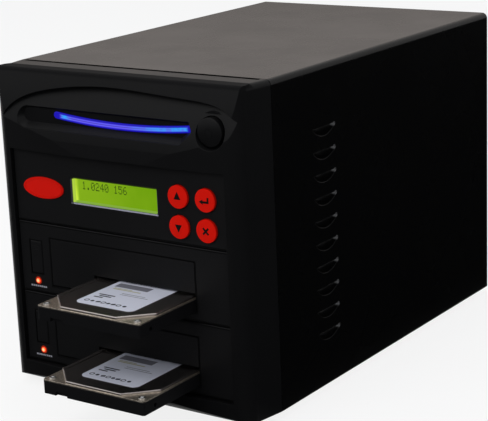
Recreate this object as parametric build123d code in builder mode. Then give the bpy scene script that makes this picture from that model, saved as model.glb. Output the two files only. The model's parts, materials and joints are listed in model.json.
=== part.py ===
from build123d import *

import os
from math import asin, cos, radians, sin, sqrt, tan

# Desktop hard drive duplicator: a small steel cabinet with a moulded front,
# a control panel, and two racks that take bare drives.
# Millimetres. X to the right seen from the front, Y to the back, Z up.
# Z = 0 is the surface that the rubber feet stand on.
# Depths below are measured from the front of the rack faces towards the back.

# Cabinet
case_width = 175.0
case_height = 185.0
cover_depth = 252.5
cover_sheet = 1.0
cover_edge_radius = 3.5
chassis_sheet = 1.2
plate_sheet = 1.0
fit_gap = 0.2
seam = 0.5
foot_height = 4.0
foot_radius = 8.0
foot_inset_x = 22.0
foot_inset_front = 22.0
foot_inset_back = 26.0
pan_flange = 14.0
rear_flange = 12.0

# Bays: three faces one above the other
bay_count = 3
bay_pitch = 42.5
face_width = 148.0
face_height = 42.0
face_wall = 2.5
chin_height = 11.5
opening_gap = 0.5

# Front moulding
bezel_depth = 25.4
bezel_proud = 4.6
bezel_wall = 2.5
bezel_plan_radius = 1100.0
bezel_corner = 9.0
bezel_side_taper = 3.0
bezel_brow_radius = 200.0
bezel_brow_start = 118.0
bezel_top_round = 2.5
bezel_chin_round = 8.0
dish_start = 124.0
dish_radius = 85.0
dish_left_margin = 5.5
dish_right_margin = 3.5
dish_rise = 0.859

# Light bar and the trough it lies in
trough_end_radius = 7.0
trough_left_margin = 26.5
trough_button_gap = 13.5
trough_slant = 6.0
trough_taper = 35.0
trough_toe = 2.0
trough_rise = 0.4348
trough_depth = 4.0
trough_floor = 2.0
bar_left_gap = 20.35
bar_right_gap = 1.65
bar_lift = 1.15
bar_sag = 2.75
bar_width = 4.0
bar_proud = 0.6
bar_flange = 1.5
led_chip = 1.2
board_thickness = 1.6

# Power button
power_margin = 21.0
power_rise = 0.4674
power_radius = 7.75
power_gap = 0.3
power_travel = 2.5
power_front = -1.6
power_dome = 1.4
power_tube_end = 14.0
power_flange = 1.5
power_flange_lip = 1.6
power_stem_radius = 3.0
switch_size = 14.0
switch_corner = 1.0

# Control panel
window_left = -33.0
window_right = 28.6
window_bottom = 98.9
window_top = 114.8
window_bevel = 1.8
window_flange = 3.0
glass_thickness = 1.5
badge_x = -52.6
badge_z = 106.0
badge_width = 29.7
badge_height = 12.6
badge_thickness = 1.0
key_radius = 6.45
key_gap = 0.25
key_columns = (43.2, 61.2)
key_rows = (111.8, 95.0)
key_proud = 1.3
key_dome = 0.5
key_travel = 0.8
key_seat_gap = 0.3
key_flange = 1.0
key_stem_radius = 1.7
display_board_depth = 11.0
tact_size = 6.0
tact_height = 4.0

# Drive racks
rack_width = 146.0
rack_height = 41.3
rack_sheet = 1.2
door_half = 51.3
door_bottom = 5.1
door_top = 33.6
door_gap = 0.4
bay_floor = 5.0
bay_wall_gap = 0.2
slot_left = -19.3
slot_top = 15.7
slot_chamfer = 0.5
hinge_depth = 5.0
hinge_height = 37.6
pin_radius = 1.0
pin_clearance = 0.05
knuckle_radius = 2.2
knuckle_place = 44.0
knuckle_width = 6.0
ear_width = 3.0
ear_gap = 0.4
back_gap = 0.3
door_lip_half = 36.0
door_lip_top = 35.0
door_lip_thickness = 1.5
spring_half = 6.0
spring_radius = 1.8
spring_wire = 0.6
spring_leg = 12.0
eject_left = -66.5
eject_right = -58.0
eject_bottom = 11.5
eject_top = 30.8
eject_gap = 0.25
eject_travel = 4.0
eject_flange = 1.5
eject_flange_lip = 1.2
eject_rod = 3.0
guide_depth = 60.0
led_x = -62.0
led_z = 7.1
led_radius = 1.5
led_length = 7.0

# 2.5-inch drives
drive_width = 69.85
drive_length = 100.35
drive_height = 9.5
drive_centre = 16.0
drive_lift = 5.4
drive_out = 49.5
drive_seated_out = 6.0
drive_body_height = 7.2
drive_deck = 0.8
drive_corner_cut = 16.0
drive_rear_cut = 8.0
drive_rim = 3.0
drive_pocket = 0.35
drive_corner_radius = 1.5
label_left = -2.5
label_right = 37.0
label_front = 11.5
label_length = 58.0
label_radius = 4.0
label_thickness = 0.15

# Data and power socket of each rack
socket_offset = 4.75
socket_width = 40.0
socket_height = 5.0
socket_length = 8.0
socket_reach = 6.0
socket_gap = 0.35
tongue_width = 33.0
tongue_thickness = 1.2
tongue_lift = 3.0

# Power supply and fans
psu_side_gap = 12.5
psu_headroom = 1.2
psu_front_gap = 9.4
psu_sheet = 1.0
psu_screw_inset = 9.0
psu_opening_margin = 5.0
psu_tab = 11.0
fan_size = 80.0
psu_fan_margin = 3.0
fan_depth = 25.0
fan_bore = 38.0
fan_flange = 4.0
fan_hole_pitch = 71.5
fan_hole = 2.2
fan_hub = 16.0
fan_shaft = 1.5
fan_blades = 7
fan_tip_gap = 1.2
rear_fan_x = 0.0
rear_fan_z = 55.0
psu_fan_shift = 0.3226
grille_rings = (10.0, 17.0, 24.0, 31.0)
grille_slot = 4.4
grille_spoke = 4.0
inlet_inset = 23.0
inlet_rise = 0.3256
rocker_rise = 0.6744

# Side louvres
louvre_count = 10
louvre_pitch = 13.15
louvre_lowest = 20.5
louvre_front = 64.6
louvre_length = 24.0
louvre_share = 0.3706

# Fasteners
screw_head = 3.5
screw_head_height = 2.0
screw_shank = 1.4
screw_length = 5.0
cover_screw_inset = 20.0

# Heights and depths that follow from the sizes above
case_bottom = foot_height
case_top = case_bottom + case_height
first_face = case_bottom + chin_height
cover_front = bezel_depth + seam
cover_back = cover_front + cover_depth
plate_front = cover_front + 0.1
plate_back = plate_front + plate_sheet
rear_panel_back = cover_back - cover_sheet
rear_panel_front = rear_panel_back - plate_sheet
inner_half = case_width / 2 - cover_sheet - fit_gap
pan_top = case_bottom + chassis_sheet
inner_top = case_top - cover_sheet
bay_top = first_face + bay_count * bay_pitch
brow_room = case_top - bay_top
power_x = case_width / 2 - power_margin
power_height = bay_top + power_rise * brow_room
trough_left = trough_left_margin - case_width / 2
trough_right = power_x - trough_button_gap
trough_z = bay_top + trough_rise * brow_room
bar_left = trough_left + bar_left_gap
bar_right = trough_right - bar_right_gap
bar_middle = (bar_left + bar_right) / 2
bar_half_length = (bar_right - bar_left) / 2
bar_z = trough_z + bar_lift
cage_half = rack_width / 2 + fit_gap
louvre_height = louvre_share * (case_width / 2 - cage_half)
face_y = -(cover_back + screw_head_height - drive_out) / 2

os.makedirs("parts", exist_ok=True)


def deep(depth):
    """Y of a place that lies this far behind the front of the rack faces."""
    return face_y + depth


def facing(depth):
    """Plane that faces the front at a depth; local x is X and local y is Z."""
    return Plane.XZ.offset(-deep(depth))


def finish(piece, label):
    """Name a finished piece and write it."""
    piece.part.label = label
    export_step(piece.part, f"parts/{label}.step")


def face_bottom(bay):
    """Height of the lower edge of a bay's face; bay 0 is the lowest."""
    return first_face + bay * bay_pitch


# Rubber feet: four turned buffers, each with a screw recess
foot_places = [
    (side * (case_width / 2 - foot_inset_x), deep(depth))
    for side in (-1, 1)
    for depth in (cover_front + foot_inset_front, cover_back - foot_inset_back)
]
foot_screw_recess = 3.6
with BuildPart() as rubber_feet:
    with BuildSketch(Plane.XY):
        with Locations(*foot_places):
            Circle(foot_radius)
    extrude(amount=foot_height)
    chamfer(rubber_feet.edges().group_by(Axis.Z)[0], length=foot_height / 4)
    with BuildSketch(Plane.XY):
        with Locations(*foot_places):
            Circle(foot_screw_recess)
    extrude(amount=foot_height / 2, mode=Mode.SUBTRACT)
finish(rubber_feet, "rubber_feet")

# Base pan: folded floor with low side flanges and vent slots
vent_slot_length = 26.0
vent_slot_width = 3.0
vent_pitch = 8.0
vent_rows = 8
with BuildPart() as base_pan:
    with BuildSketch(facing(rear_panel_front)):
        with Locations((0, case_bottom)):
            Rectangle(2 * inner_half, pan_flange, align=(Align.CENTER, Align.MIN))
        with Locations((0, pan_top)):
            Rectangle(
                2 * (inner_half - chassis_sheet),
                pan_flange,
                align=(Align.CENTER, Align.MIN),
                mode=Mode.SUBTRACT,
            )
    extrude(amount=rear_panel_front - plate_front)
    with BuildSketch(Plane.XY.offset(case_bottom)):
        with Locations((0, deep((plate_front + rear_panel_front) / 2))):
            with GridLocations(2 * vent_slot_length, vent_pitch, 2, vent_rows):
                SlotOverall(vent_slot_length, vent_slot_width)
    extrude(amount=chassis_sheet, mode=Mode.SUBTRACT)
finish(base_pan, "base_pan")

# Top cover: top and two sides folded from one sheet, built as its right half
# and kept as three solids that meet along the two bends
# Each louvre is a half-moon pressed inwards under a straight slit


def louvre_form(grow):
    """Quarter turn of a half-moon about its straight upper edge."""
    half = louvre_length / 2 + grow
    drop = louvre_height + grow
    with BuildPart() as scoop:
        with BuildSketch(Plane.YZ):
            with BuildLine():
                ThreePointArc((-half, 0), (0, -drop), (half, 0))
                Line((-half, 0), (half, 0))
            make_face()
        revolve(axis=Axis.Y, revolution_arc=90)
    return scoop.part


louvre_y = deep(louvre_front + louvre_length / 2)
louvre_places = [
    (case_width / 2, louvre_y, first_face + louvre_lowest + step * louvre_pitch)
    for step in range(louvre_count)
]
louvre_hollow = louvre_form(0)
louvre_skin = louvre_form(cover_sheet)
rear_screw_heights = (
    case_bottom + cover_screw_inset,
    (case_bottom + case_top) / 2,
    case_top - cover_screw_inset,
)
flange_middle = case_width / 2 - cover_sheet - rear_flange / 2
with BuildPart() as top_cover:
    with BuildSketch(facing(cover_back)):
        with Locations((0, case_top)):
            RectangleRounded(
                case_width,
                case_height + cover_edge_radius,
                cover_edge_radius,
                align=(Align.CENTER, Align.MAX),
            )
        with Locations((0, case_top - cover_sheet)):
            RectangleRounded(
                case_width - 2 * cover_sheet,
                case_height + cover_edge_radius,
                cover_edge_radius - cover_sheet,
                align=(Align.CENTER, Align.MAX),
                mode=Mode.SUBTRACT,
            )
        with Locations((0, case_bottom)):
            Rectangle(
                2 * case_width,
                2 * case_width,
                align=(Align.CENTER, Align.MAX),
                mode=Mode.SUBTRACT,
            )
            Rectangle(
                case_width,
                2 * case_height,
                align=(Align.MAX, Align.MIN),
                mode=Mode.SUBTRACT,
            )
    extrude(amount=cover_depth)
    with Locations(*louvre_places):
        add(louvre_skin)
    with Locations(*louvre_places):
        add(louvre_hollow, mode=Mode.SUBTRACT)
    with BuildSketch(facing(cover_back)):
        with Locations((case_width / 2 - cover_sheet, case_bottom)):
            Rectangle(
                rear_flange,
                case_height - 2 * cover_edge_radius,
                align=(Align.MAX, Align.MIN),
            )
        with Locations(*[(flange_middle, height) for height in rear_screw_heights]):
            Circle(screw_shank + fit_gap, mode=Mode.SUBTRACT)
    extrude(amount=cover_sheet)
    mirror(about=Plane.YZ)
    split(bisect_by=Plane.XY.offset(case_top - cover_edge_radius), keep=Keep.BOTH)
finish(top_cover, "top_cover")

# Front plate: sheet behind the moulding, open over the three bays
harness_slot_length = 90.0
harness_slot_width = 14.0
with BuildPart() as front_plate:
    with BuildSketch(facing(plate_back)):
        with Locations((0, pan_top)):
            Rectangle(
                2 * inner_half - 2 * chassis_sheet,
                inner_top - pan_top - fit_gap,
                align=(Align.CENTER, Align.MIN),
            )
        with Locations((0, first_face - opening_gap)):
            Rectangle(
                face_width + 2 * opening_gap,
                bay_count * bay_pitch + opening_gap,
                align=(Align.CENTER, Align.MIN),
                mode=Mode.SUBTRACT,
            )
        with Locations((0, bar_z)):
            SlotOverall(harness_slot_length, harness_slot_width, mode=Mode.SUBTRACT)
    extrude(amount=plate_sheet)
finish(front_plate, "front_plate")

# Drive cage: folded walls beside the racks and a shelf under the power supply,
# kept as three solids that meet along the shelf's bends
shelf_gap = 0.5
cage_length = 163.0
cage_ear = 34.0
cage_ear_drop = 1.0
cage_foot_share = 0.756
cage_shelf = face_bottom(1) + rack_height + shelf_gap
cage_back = plate_back + cage_length
cage_ear_depth = plate_back + cage_ear
cage_ear_top = bay_top - cage_ear_drop
cage_foot = cage_foot_share * (inner_half - chassis_sheet - cage_half)
window_length = 60.0
window_height = 20.0
window_corner = 4.0
window_shift = 20.0
window_middle = (plate_back + cage_back) / 2 + window_shift
rack_screw_depths = (47.4, 79.2)
rack_screw_height = 10.0
arm_screw_depth = 36.0
standoff_height = 6.0
standoff_radius = 3.0
controller_gap = 8.0
controller_front = plate_back + controller_gap
controller_length = 92.0
controller_width = 136.0
standoff_inset = 5.0
controller_back = controller_front + controller_length
standoff_places = [
    (side * (controller_width / 2 - standoff_inset), deep(depth))
    for side in (-1, 1)
    for depth in (controller_front + standoff_inset, controller_back - standoff_inset)
]
with BuildPart() as drive_cage:
    with BuildSketch(Plane.YZ.offset(cage_half)):
        with BuildLine():
            Polyline(
                (deep(plate_back), pan_top),
                (deep(cage_back), pan_top),
                (deep(cage_back), cage_shelf + plate_sheet),
                (deep(cage_ear_depth), cage_shelf + plate_sheet),
                (deep(cage_ear_depth), cage_ear_top),
                (deep(plate_back), cage_ear_top),
                close=True,
            )
        make_face()
        for bay in range(bay_count - 1):
            with Locations((deep(window_middle), face_bottom(bay) + face_height / 2)):
                RectangleRounded(window_length, window_height, window_corner, mode=Mode.SUBTRACT)
            screw_z = face_bottom(bay) + rack_screw_height
            with Locations(*[(deep(depth), screw_z) for depth in rack_screw_depths]):
                Circle(screw_shank + fit_gap, mode=Mode.SUBTRACT)
        with Locations((deep(arm_screw_depth), face_bottom(2) + face_height / 2)):
            Circle(screw_shank + fit_gap, mode=Mode.SUBTRACT)
    extrude(amount=plate_sheet)
    with BuildSketch(facing(cage_back)):
        with Locations((cage_half, pan_top)):
            Rectangle(cage_foot, plate_sheet, align=(Align.MIN, Align.MIN))
        with Locations((0, cage_shelf)):
            Rectangle(cage_half, plate_sheet, align=(Align.MIN, Align.MIN))
    extrude(amount=cage_back - plate_back)
    mirror(about=Plane.YZ)
    with BuildSketch(Plane.XY.offset(cage_shelf)):
        with Locations(*standoff_places):
            Circle(standoff_radius)
    extrude(amount=plate_sheet + standoff_height)
    for side in (-1, 1):
        split(bisect_by=Plane.YZ.offset(side * cage_half), keep=Keep.BOTH)
finish(drive_cage, "drive_cage")

# Front moulding: one shell with the bay opening, the brow dish, the trough
# for the light bar and the guide tube of the power button
brow_z = first_face + bezel_brow_start
dish_z = first_face + dish_start
dish_brow = bay_top + dish_rise * brow_room
dish_left = case_width / 2 - dish_left_margin
dish_right = case_width / 2 - dish_right_margin
dish_outline = (
    (-0.890 * dish_left, -15.0),
    (-0.512 * dish_left, -3.5),
    (0.0, 0.0),
    (0.536 * dish_right, -2.2),
    (0.917 * dish_right, -7.5),
)
bezel_back = deep(bezel_depth)
bezel_nose = deep(-bezel_proud)


def bezel_form(inset):
    """Outer form of the moulding, or the hollow behind a wall of this thickness."""
    low = case_bottom + inset
    high = case_top - inset
    nose = bezel_nose + inset
    radius = bezel_brow_radius - inset
    rise = high - bezel_top_round - brow_z
    brow_y = nose + radius - sqrt(radius**2 - rise**2)
    middle = rise / 2
    middle_y = nose + radius - sqrt(radius**2 - middle**2)
    chin = bezel_chin_round - inset
    half = case_width / 2 - inset
    shoulder = half - bezel_side_taper
    plan_radius = bezel_plan_radius - inset
    corner_x = shoulder - bezel_corner
    corner_y = nose + plan_radius - sqrt(plan_radius**2 - corner_x**2)
    turn = bezel_corner * (1 - sqrt(0.5))
    with BuildPart() as form:
        with BuildSketch(Plane.YZ):
            with BuildLine():
                Line((bezel_back, low), (nose + chin, low))
                ThreePointArc(
                    (nose + chin, low),
                    (nose + chin * (1 - sqrt(0.5)), low + chin * (1 - sqrt(0.5))),
                    (nose, low + chin),
                )
                Line((nose, low + chin), (nose, brow_z))
                ThreePointArc((nose, brow_z), (middle_y, brow_z + middle), (brow_y, brow_z + rise))
                ThreePointArc(
                    (brow_y, brow_z + rise),
                    (brow_y + bezel_top_round * 0.45, high - bezel_top_round * 0.25),
                    (brow_y + bezel_top_round * 1.35, high),
                )
                Line((brow_y + bezel_top_round * 1.35, high), (bezel_back, high))
                Line((bezel_back, high), (bezel_back, low))
            make_face()
        extrude(amount=case_width, both=True)
        with BuildSketch(Plane.XY.offset(case_bottom)):
            with BuildLine():
                Polyline(
                    (shoulder, corner_y + bezel_corner),
                    (half, bezel_back),
                    (-half, bezel_back),
                    (-shoulder, corner_y + bezel_corner),
                )
                ThreePointArc(
                    (-shoulder, corner_y + bezel_corner),
                    (-shoulder + turn, corner_y + turn),
                    (-corner_x, corner_y),
                )
                ThreePointArc((-corner_x, corner_y), (0, nose), (corner_x, corner_y))
                ThreePointArc(
                    (corner_x, corner_y),
                    (shoulder - turn, corner_y + turn),
                    (shoulder, corner_y + bezel_corner),
                )
            make_face()
        extrude(amount=case_height, mode=Mode.INTERSECT)
        edges = form.edges().filter_by(lambda edge: edge.center().Z > high - 0.01)
        sides = edges.filter_by(lambda edge: abs(edge.center().X) > shoulder - 0.01)
        fillet(sides, radius=cover_edge_radius - inset)
    return form.part


def dish_form(wall):
    """Recess under the brow: an arched outline swept back along a rounder floor."""
    rise = case_top - dish_z
    floor_y = bezel_nose + wall + dish_radius - sqrt(dish_radius**2 - rise**2)
    half_rise = rise / 2
    half_y = bezel_nose + wall + dish_radius - sqrt(dish_radius**2 - half_rise**2)
    with BuildPart() as dish:
        with BuildSketch(Plane.YZ):
            with BuildLine():
                ThreePointArc((bezel_nose + wall, dish_z), (half_y, dish_z + half_rise), (floor_y, case_top))
                Polyline(
                    (floor_y, case_top),
                    (bezel_nose - bezel_depth, case_top),
                    (bezel_nose - bezel_depth, dish_z),
                    (bezel_nose + wall, dish_z),
                )
            make_face()
        extrude(amount=case_width, both=True)
        arch = [(x, dish_brow + drop + wall) for x, drop in dish_outline[1:]]
        with BuildSketch(Plane.XZ.offset(-bezel_back)):
            with BuildLine():
                Spline(
                    (-dish_left - wall, dish_z),
                    (dish_outline[0][0] - wall, dish_brow + dish_outline[0][1] + wall),
                    *arch,
                    (dish_right + wall, dish_z),
                )
                Line((dish_right + wall, dish_z), (-dish_left - wall, dish_z))
            make_face()
        extrude(amount=3 * bezel_depth, mode=Mode.INTERSECT)
    return dish.part


def trough_outline(wall):
    """Edges with a round left end, a straight lower edge and a slanted right end."""
    top = trough_z + trough_end_radius + wall
    low = trough_z - trough_end_radius - wall
    with BuildLine(Plane.XY, mode=Mode.PRIVATE) as outline:
        Polyline(
            (trough_left, low),
            (trough_right - trough_slant + wall, low),
            (trough_right + trough_toe + wall, trough_z),
            (trough_right + wall, top),
            (trough_left, top),
        )
        ThreePointArc(
            (trough_left, top),
            (trough_left - trough_end_radius - wall, trough_z),
            (trough_left, low),
        )
    return outline.edges()


def trough_form(wall):
    """Pocket that narrows towards its floor, with its mouth open to the front."""
    with BuildPart() as trough:
        with BuildSketch(facing(trough_floor - trough_depth)):
            make_face(trough_outline(wall))
        extrude(amount=-(trough_depth + wall), taper=trough_taper)
        with BuildSketch(facing(trough_floor - trough_depth)):
            make_face(trough_outline(wall))
        extrude(amount=bezel_depth)
    return trough.part


def bar_curve():
    """Centre line of the light bar, sagging in the middle."""
    with BuildLine(Plane.XY, mode=Mode.PRIVATE) as curve:
        ThreePointArc(
            (bar_left, bar_z),
            (bar_middle, bar_z - bar_sag),
            (bar_right, bar_z),
        )
    return curve.line.edges()[0]


bezel_outer = bezel_form(0)
bezel_hollow = bezel_form(bezel_wall)
opening_half = face_width / 2 + opening_gap
post_inner = opening_half + bezel_wall
post_outer = case_width / 2 - bezel_side_taper - bezel_wall
post_overlap = 0.5
bezel_post_x = (post_inner + post_outer) / 2
bezel_post_radius = abs(post_outer - post_inner) / 2 + post_overlap
bezel_post_low = 40.0
bezel_post_high = 132.0
clip_places = [
    (side * bezel_post_x, height)
    for side in (-1, 1)
    for height in (bezel_post_low, bezel_post_high)
]
power_bore = power_radius + power_gap
power_tube = power_bore + bezel_wall
with BuildPart() as bezel:
    add(bezel_outer)
    add(dish_form(0), mode=Mode.SUBTRACT)
    add(trough_form(0), mode=Mode.SUBTRACT)
    with BuildPart(mode=Mode.PRIVATE) as hollow:
        add(bezel_hollow)
        add(dish_form(bezel_wall), mode=Mode.SUBTRACT)
        add(trough_form(bezel_wall), mode=Mode.SUBTRACT)
        with BuildSketch(facing(bezel_depth)):
            with Locations((0, first_face - opening_gap - bezel_wall)):
                Rectangle(
                    2 * (opening_half + bezel_wall),
                    bay_count * bay_pitch + opening_gap + 2 * bezel_wall,
                    align=(Align.CENTER, Align.MIN),
                )
        extrude(amount=2 * bezel_depth, mode=Mode.SUBTRACT)
    add(hollow.part, mode=Mode.SUBTRACT)
    with BuildSketch(facing(plate_front)):
        with Locations(*clip_places):
            Circle(bezel_post_radius)
    extrude(amount=plate_front - 2 * bezel_wall)
    with BuildSketch(facing(bezel_depth)):
        with Locations((0, first_face - opening_gap)):
            Rectangle(
                2 * opening_half,
                bay_count * bay_pitch + opening_gap,
                align=(Align.CENTER, Align.MIN),
            )
    extrude(amount=2 * bezel_depth, mode=Mode.SUBTRACT)
    with BuildSketch(facing(power_tube_end)):
        with Locations((power_x, power_height)):
            Circle(power_tube)
    extrude(amount=power_tube_end - bezel_wall)
    with BuildSketch(facing(power_tube_end)):
        with Locations((power_x, power_height)):
            Circle(power_bore)
    extrude(amount=2 * power_tube_end, mode=Mode.SUBTRACT)
    with BuildSketch(facing(bezel_wall)):
        with Locations((power_x, power_height)):
            Circle(power_bore)
    extrude(amount=bezel_wall + bezel_proud, taper=-20, mode=Mode.SUBTRACT)
    with BuildSketch(facing(bezel_depth)):
        SlotArc(bar_curve(), bar_width)
    extrude(amount=2 * bezel_depth, mode=Mode.SUBTRACT)
finish(bezel, "bezel")

# Light pipe: clear bar with a wider flange behind the moulding's wall
pipe_front = trough_floor - bar_proud
pipe_seat = trough_floor + bezel_wall
pipe_back = pipe_seat + bar_flange
with BuildPart() as light_pipe:
    with BuildSketch(facing(pipe_seat)):
        SlotArc(bar_curve(), bar_width)
    extrude(amount=pipe_seat - pipe_front)
    fillet(light_pipe.faces().sort_by(Axis.Y)[0].edges(), radius=bar_proud * 0.8)
    with BuildSketch(facing(pipe_back)):
        SlotArc(bar_curve(), bar_width + 2 * bar_flange)
    extrude(amount=bar_flange)
finish(light_pipe, "light_pipe")

# Light board: narrow strip with a row of light-emitting chips against the pipe
led_count = 6
led_size = (3.0, 2.0)
light_board_front = pipe_back + led_chip
light_board_height = 13.0
light_board_margin = 4.0
light_board_corner = 1.0
with BuildPart() as light_board:
    with BuildSketch(facing(light_board_front + board_thickness)):
        with Locations((bar_middle, bar_z - bar_sag / 2)):
            RectangleRounded(
                2 * (bar_half_length + light_board_margin),
                light_board_height,
                light_board_corner,
            )
    extrude(amount=board_thickness)
    bar_arc = bar_curve()
    led_places = [bar_arc @ ((step + 0.5) / led_count) for step in range(led_count)]
    with BuildSketch(facing(light_board_front)):
        with Locations(*[(place.X, place.Y) for place in led_places]):
            Rectangle(*led_size)
    extrude(amount=led_chip)
finish(light_board, "light_board")

# Power button: domed cap, retaining flange behind the guide tube, and stem
power_flange_front = power_tube_end + power_gap
power_flange_back = power_flange_front + power_flange
power_stem = 4.0
power_stem_end = power_flange_back + power_stem
switch_front = power_flange_back + power_travel + power_gap
dome_round = (power_radius**2 + power_dome**2) / (2 * power_dome)
button_tip = deep(power_front - power_dome)
button_rim = deep(power_front)
button_shoulder = button_tip + dome_round - sqrt(dome_round**2 - power_radius**2 / 4)
with BuildPart() as power_button:
    with BuildSketch(Plane.YZ.offset(power_x)):
        with BuildLine():
            ThreePointArc(
                (button_tip, power_height),
                (button_shoulder, power_height + power_radius / 2),
                (button_rim, power_height + power_radius),
            )
            Polyline(
                (button_rim, power_height + power_radius),
                (deep(power_flange_front), power_height + power_radius),
                (deep(power_flange_front), power_height + power_bore + power_flange_lip),
                (deep(power_flange_back), power_height + power_bore + power_flange_lip),
                (deep(power_flange_back), power_height + power_stem_radius),
                (deep(power_stem_end), power_height + power_stem_radius),
                (deep(power_stem_end), power_height),
                (button_tip, power_height),
            )
        make_face()
    revolve(axis=Axis((power_x, 0, power_height), (0, 1, 0)))
finish(power_button, "power_button")

# Power switch: housing on the front plate that the button's stem enters
with BuildPart() as power_switch:
    with BuildSketch(facing(plate_front)):
        with Locations((power_x, power_height)):
            RectangleRounded(switch_size, switch_size, switch_corner)
    extrude(amount=plate_front - switch_front)
    with BuildSketch(facing(power_stem_end + power_travel + power_gap)):
        with Locations((power_x, power_height)):
            Circle(power_stem_radius + power_gap)
    extrude(amount=power_stem_end, mode=Mode.SUBTRACT)
finish(power_switch, "power_switch")

# Control panel: face of the top bay with the display window, four key holes,
# two arms that screw to the cage and four posts for the board behind it
panel_z = face_bottom(2) + face_height / 2
window_x = (window_left + window_right) / 2
window_z = first_face + (window_bottom + window_top) / 2
window_width = window_right - window_left
window_height_open = window_top - window_bottom
key_places = {
    "up_key": (key_columns[0], first_face + key_rows[0]),
    "enter_key": (key_columns[1], first_face + key_rows[0]),
    "down_key": (key_columns[0], first_face + key_rows[1]),
    "escape_key": (key_columns[1], first_face + key_rows[1]),
}
face_round = 0.6
arm_length = 40.0
arm_wall = 1.6
arm_height = 34.0
board_half = 70.0
board_height = 38.0
post_radius = 2.5
post_inset = 4.0
post_columns = (-board_half + post_inset, (key_columns[0] + key_columns[1]) / 2)
post_rise = board_height / 2 - post_radius
post_places = [(column, panel_z + end * post_rise) for column in post_columns for end in (-1, 1)]
with BuildPart() as control_panel:
    with BuildSketch(facing(face_wall)):
        with Locations((0, panel_z)):
            Rectangle(face_width, face_height)
    extrude(amount=face_wall)
    fillet(control_panel.faces().sort_by(Axis.Y)[0].edges(), radius=face_round)
    with BuildSketch(facing(arm_length)):
        for side in (-1, 1):
            with Locations((side * (rack_width / 2 - arm_wall / 2), panel_z)):
                Rectangle(arm_wall, arm_height)
    extrude(amount=arm_length - face_wall)
    with BuildSketch(facing(display_board_depth)):
        with Locations(*post_places):
            Circle(post_radius)
    extrude(amount=display_board_depth - face_wall)
    with BuildSketch(facing(face_wall)):
        with Locations((window_x, window_z)):
            Rectangle(window_width, window_height_open)
        with Locations(*key_places.values()):
            Circle(key_radius + key_gap)
    extrude(amount=face_wall, mode=Mode.SUBTRACT)
    with BuildSketch(Plane.YZ.offset(rack_width / 2)):
        with Locations((deep(arm_screw_depth), panel_z)):
            Circle(screw_shank + fit_gap)
    extrude(amount=-rack_width, mode=Mode.SUBTRACT)
finish(control_panel, "control_panel")

# Badge: raised bare oval
with BuildPart() as badge:
    with BuildSketch(facing(0)):
        with Locations((badge_x, first_face + badge_z)):
            Ellipse(badge_width / 2, badge_height / 2)
    extrude(amount=badge_thickness)
    fillet(badge.faces().sort_by(Axis.Y)[0].edges(), radius=badge_thickness * 0.6)
finish(badge, "badge")

# Display frame: pale lining of the window, sloping in to the glass
lining_sink = 0.3
lining_flare = 30.0
glass_front = face_wall
glass_back = glass_front + glass_thickness
with BuildPart() as display_frame:
    with BuildSketch(facing(glass_front)):
        with Locations((window_x, window_z)):
            Rectangle(window_width, window_height_open)
    extrude(amount=glass_front - lining_sink)
    with BuildSketch(facing(glass_back)):
        with Locations((window_x, window_z)):
            Rectangle(window_width + 2 * window_flange, window_height_open + 2 * window_flange)
    extrude(amount=glass_thickness)
    with BuildSketch(facing(glass_back)):
        with Locations((window_x, window_z)):
            Rectangle(window_width - 2 * window_bevel, window_height_open - 2 * window_bevel)
    extrude(amount=glass_back, mode=Mode.SUBTRACT)
    with BuildSketch(facing(glass_front)):
        with Locations((window_x, window_z)):
            Rectangle(window_width - 2 * window_bevel, window_height_open - 2 * window_bevel)
    extrude(amount=glass_front, taper=-lining_flare, mode=Mode.SUBTRACT)
finish(display_frame, "display_frame")

with BuildPart() as display_glass:
    with BuildSketch(facing(glass_back)):
        with Locations((window_x, window_z)):
            Rectangle(window_width - 2 * window_bevel, window_height_open - 2 * window_bevel)
    extrude(amount=glass_thickness)
finish(display_glass, "display_glass")

# Display board: circuit board with the display's metal can and four key switches
can_margin = 6.0
tact_front = display_board_depth - tact_height
with BuildPart() as display_board:
    with BuildSketch(facing(display_board_depth + board_thickness)):
        with Locations((0, panel_z)):
            Rectangle(2 * board_half, board_height)
    extrude(amount=board_thickness)
    with BuildSketch(facing(display_board_depth)):
        with Locations((window_x, window_z)):
            Rectangle(window_width + 2 * can_margin, window_height_open + can_margin)
    extrude(amount=display_board_depth - glass_back)
    with BuildSketch(facing(display_board_depth)):
        with Locations(*key_places.values()):
            Rectangle(tact_size, tact_size)
    extrude(amount=tact_height)
    with BuildSketch(facing(tact_front + key_travel + 3 * key_seat_gap)):
        with Locations(*key_places.values()):
            Circle(key_stem_radius + key_seat_gap)
    extrude(amount=tact_height, mode=Mode.SUBTRACT)
finish(display_board, "display_board")

# Keys: shallow domed caps with a flange behind the panel and a stem to the switch
key_flange_front = face_wall + key_seat_gap
key_flange_back = key_flange_front + key_flange
key_stem_end = tact_front + key_seat_gap
key_flange_lip = 0.9
key_flange_radius = key_radius + key_gap + key_flange_lip
key_tip = deep(-key_proud - key_dome)
key_rim = deep(-key_proud)
key_round = (key_radius**2 + key_dome**2) / (2 * key_dome)
for key_name, (key_x, key_z) in key_places.items():
    with BuildPart() as key:
        with BuildSketch(Plane.YZ.offset(key_x)):
            with BuildLine():
                ThreePointArc(
                    (key_tip, key_z),
                    (key_tip + key_round - sqrt(key_round**2 - key_radius**2 / 4), key_z + key_radius / 2),
                    (key_rim, key_z + key_radius),
                )
                Polyline(
                    (key_rim, key_z + key_radius),
                    (deep(key_flange_front), key_z + key_radius),
                    (deep(key_flange_front), key_z + key_flange_radius),
                    (deep(key_flange_back), key_z + key_flange_radius),
                    (deep(key_flange_back), key_z + key_stem_radius),
                    (deep(key_stem_end), key_z + key_stem_radius),
                    (deep(key_stem_end), key_z),
                    (key_tip, key_z),
                )
            make_face()
        revolve(axis=Axis((key_x, 0, key_z), (0, 1, 0)))
    finish(key, key_name)

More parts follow.
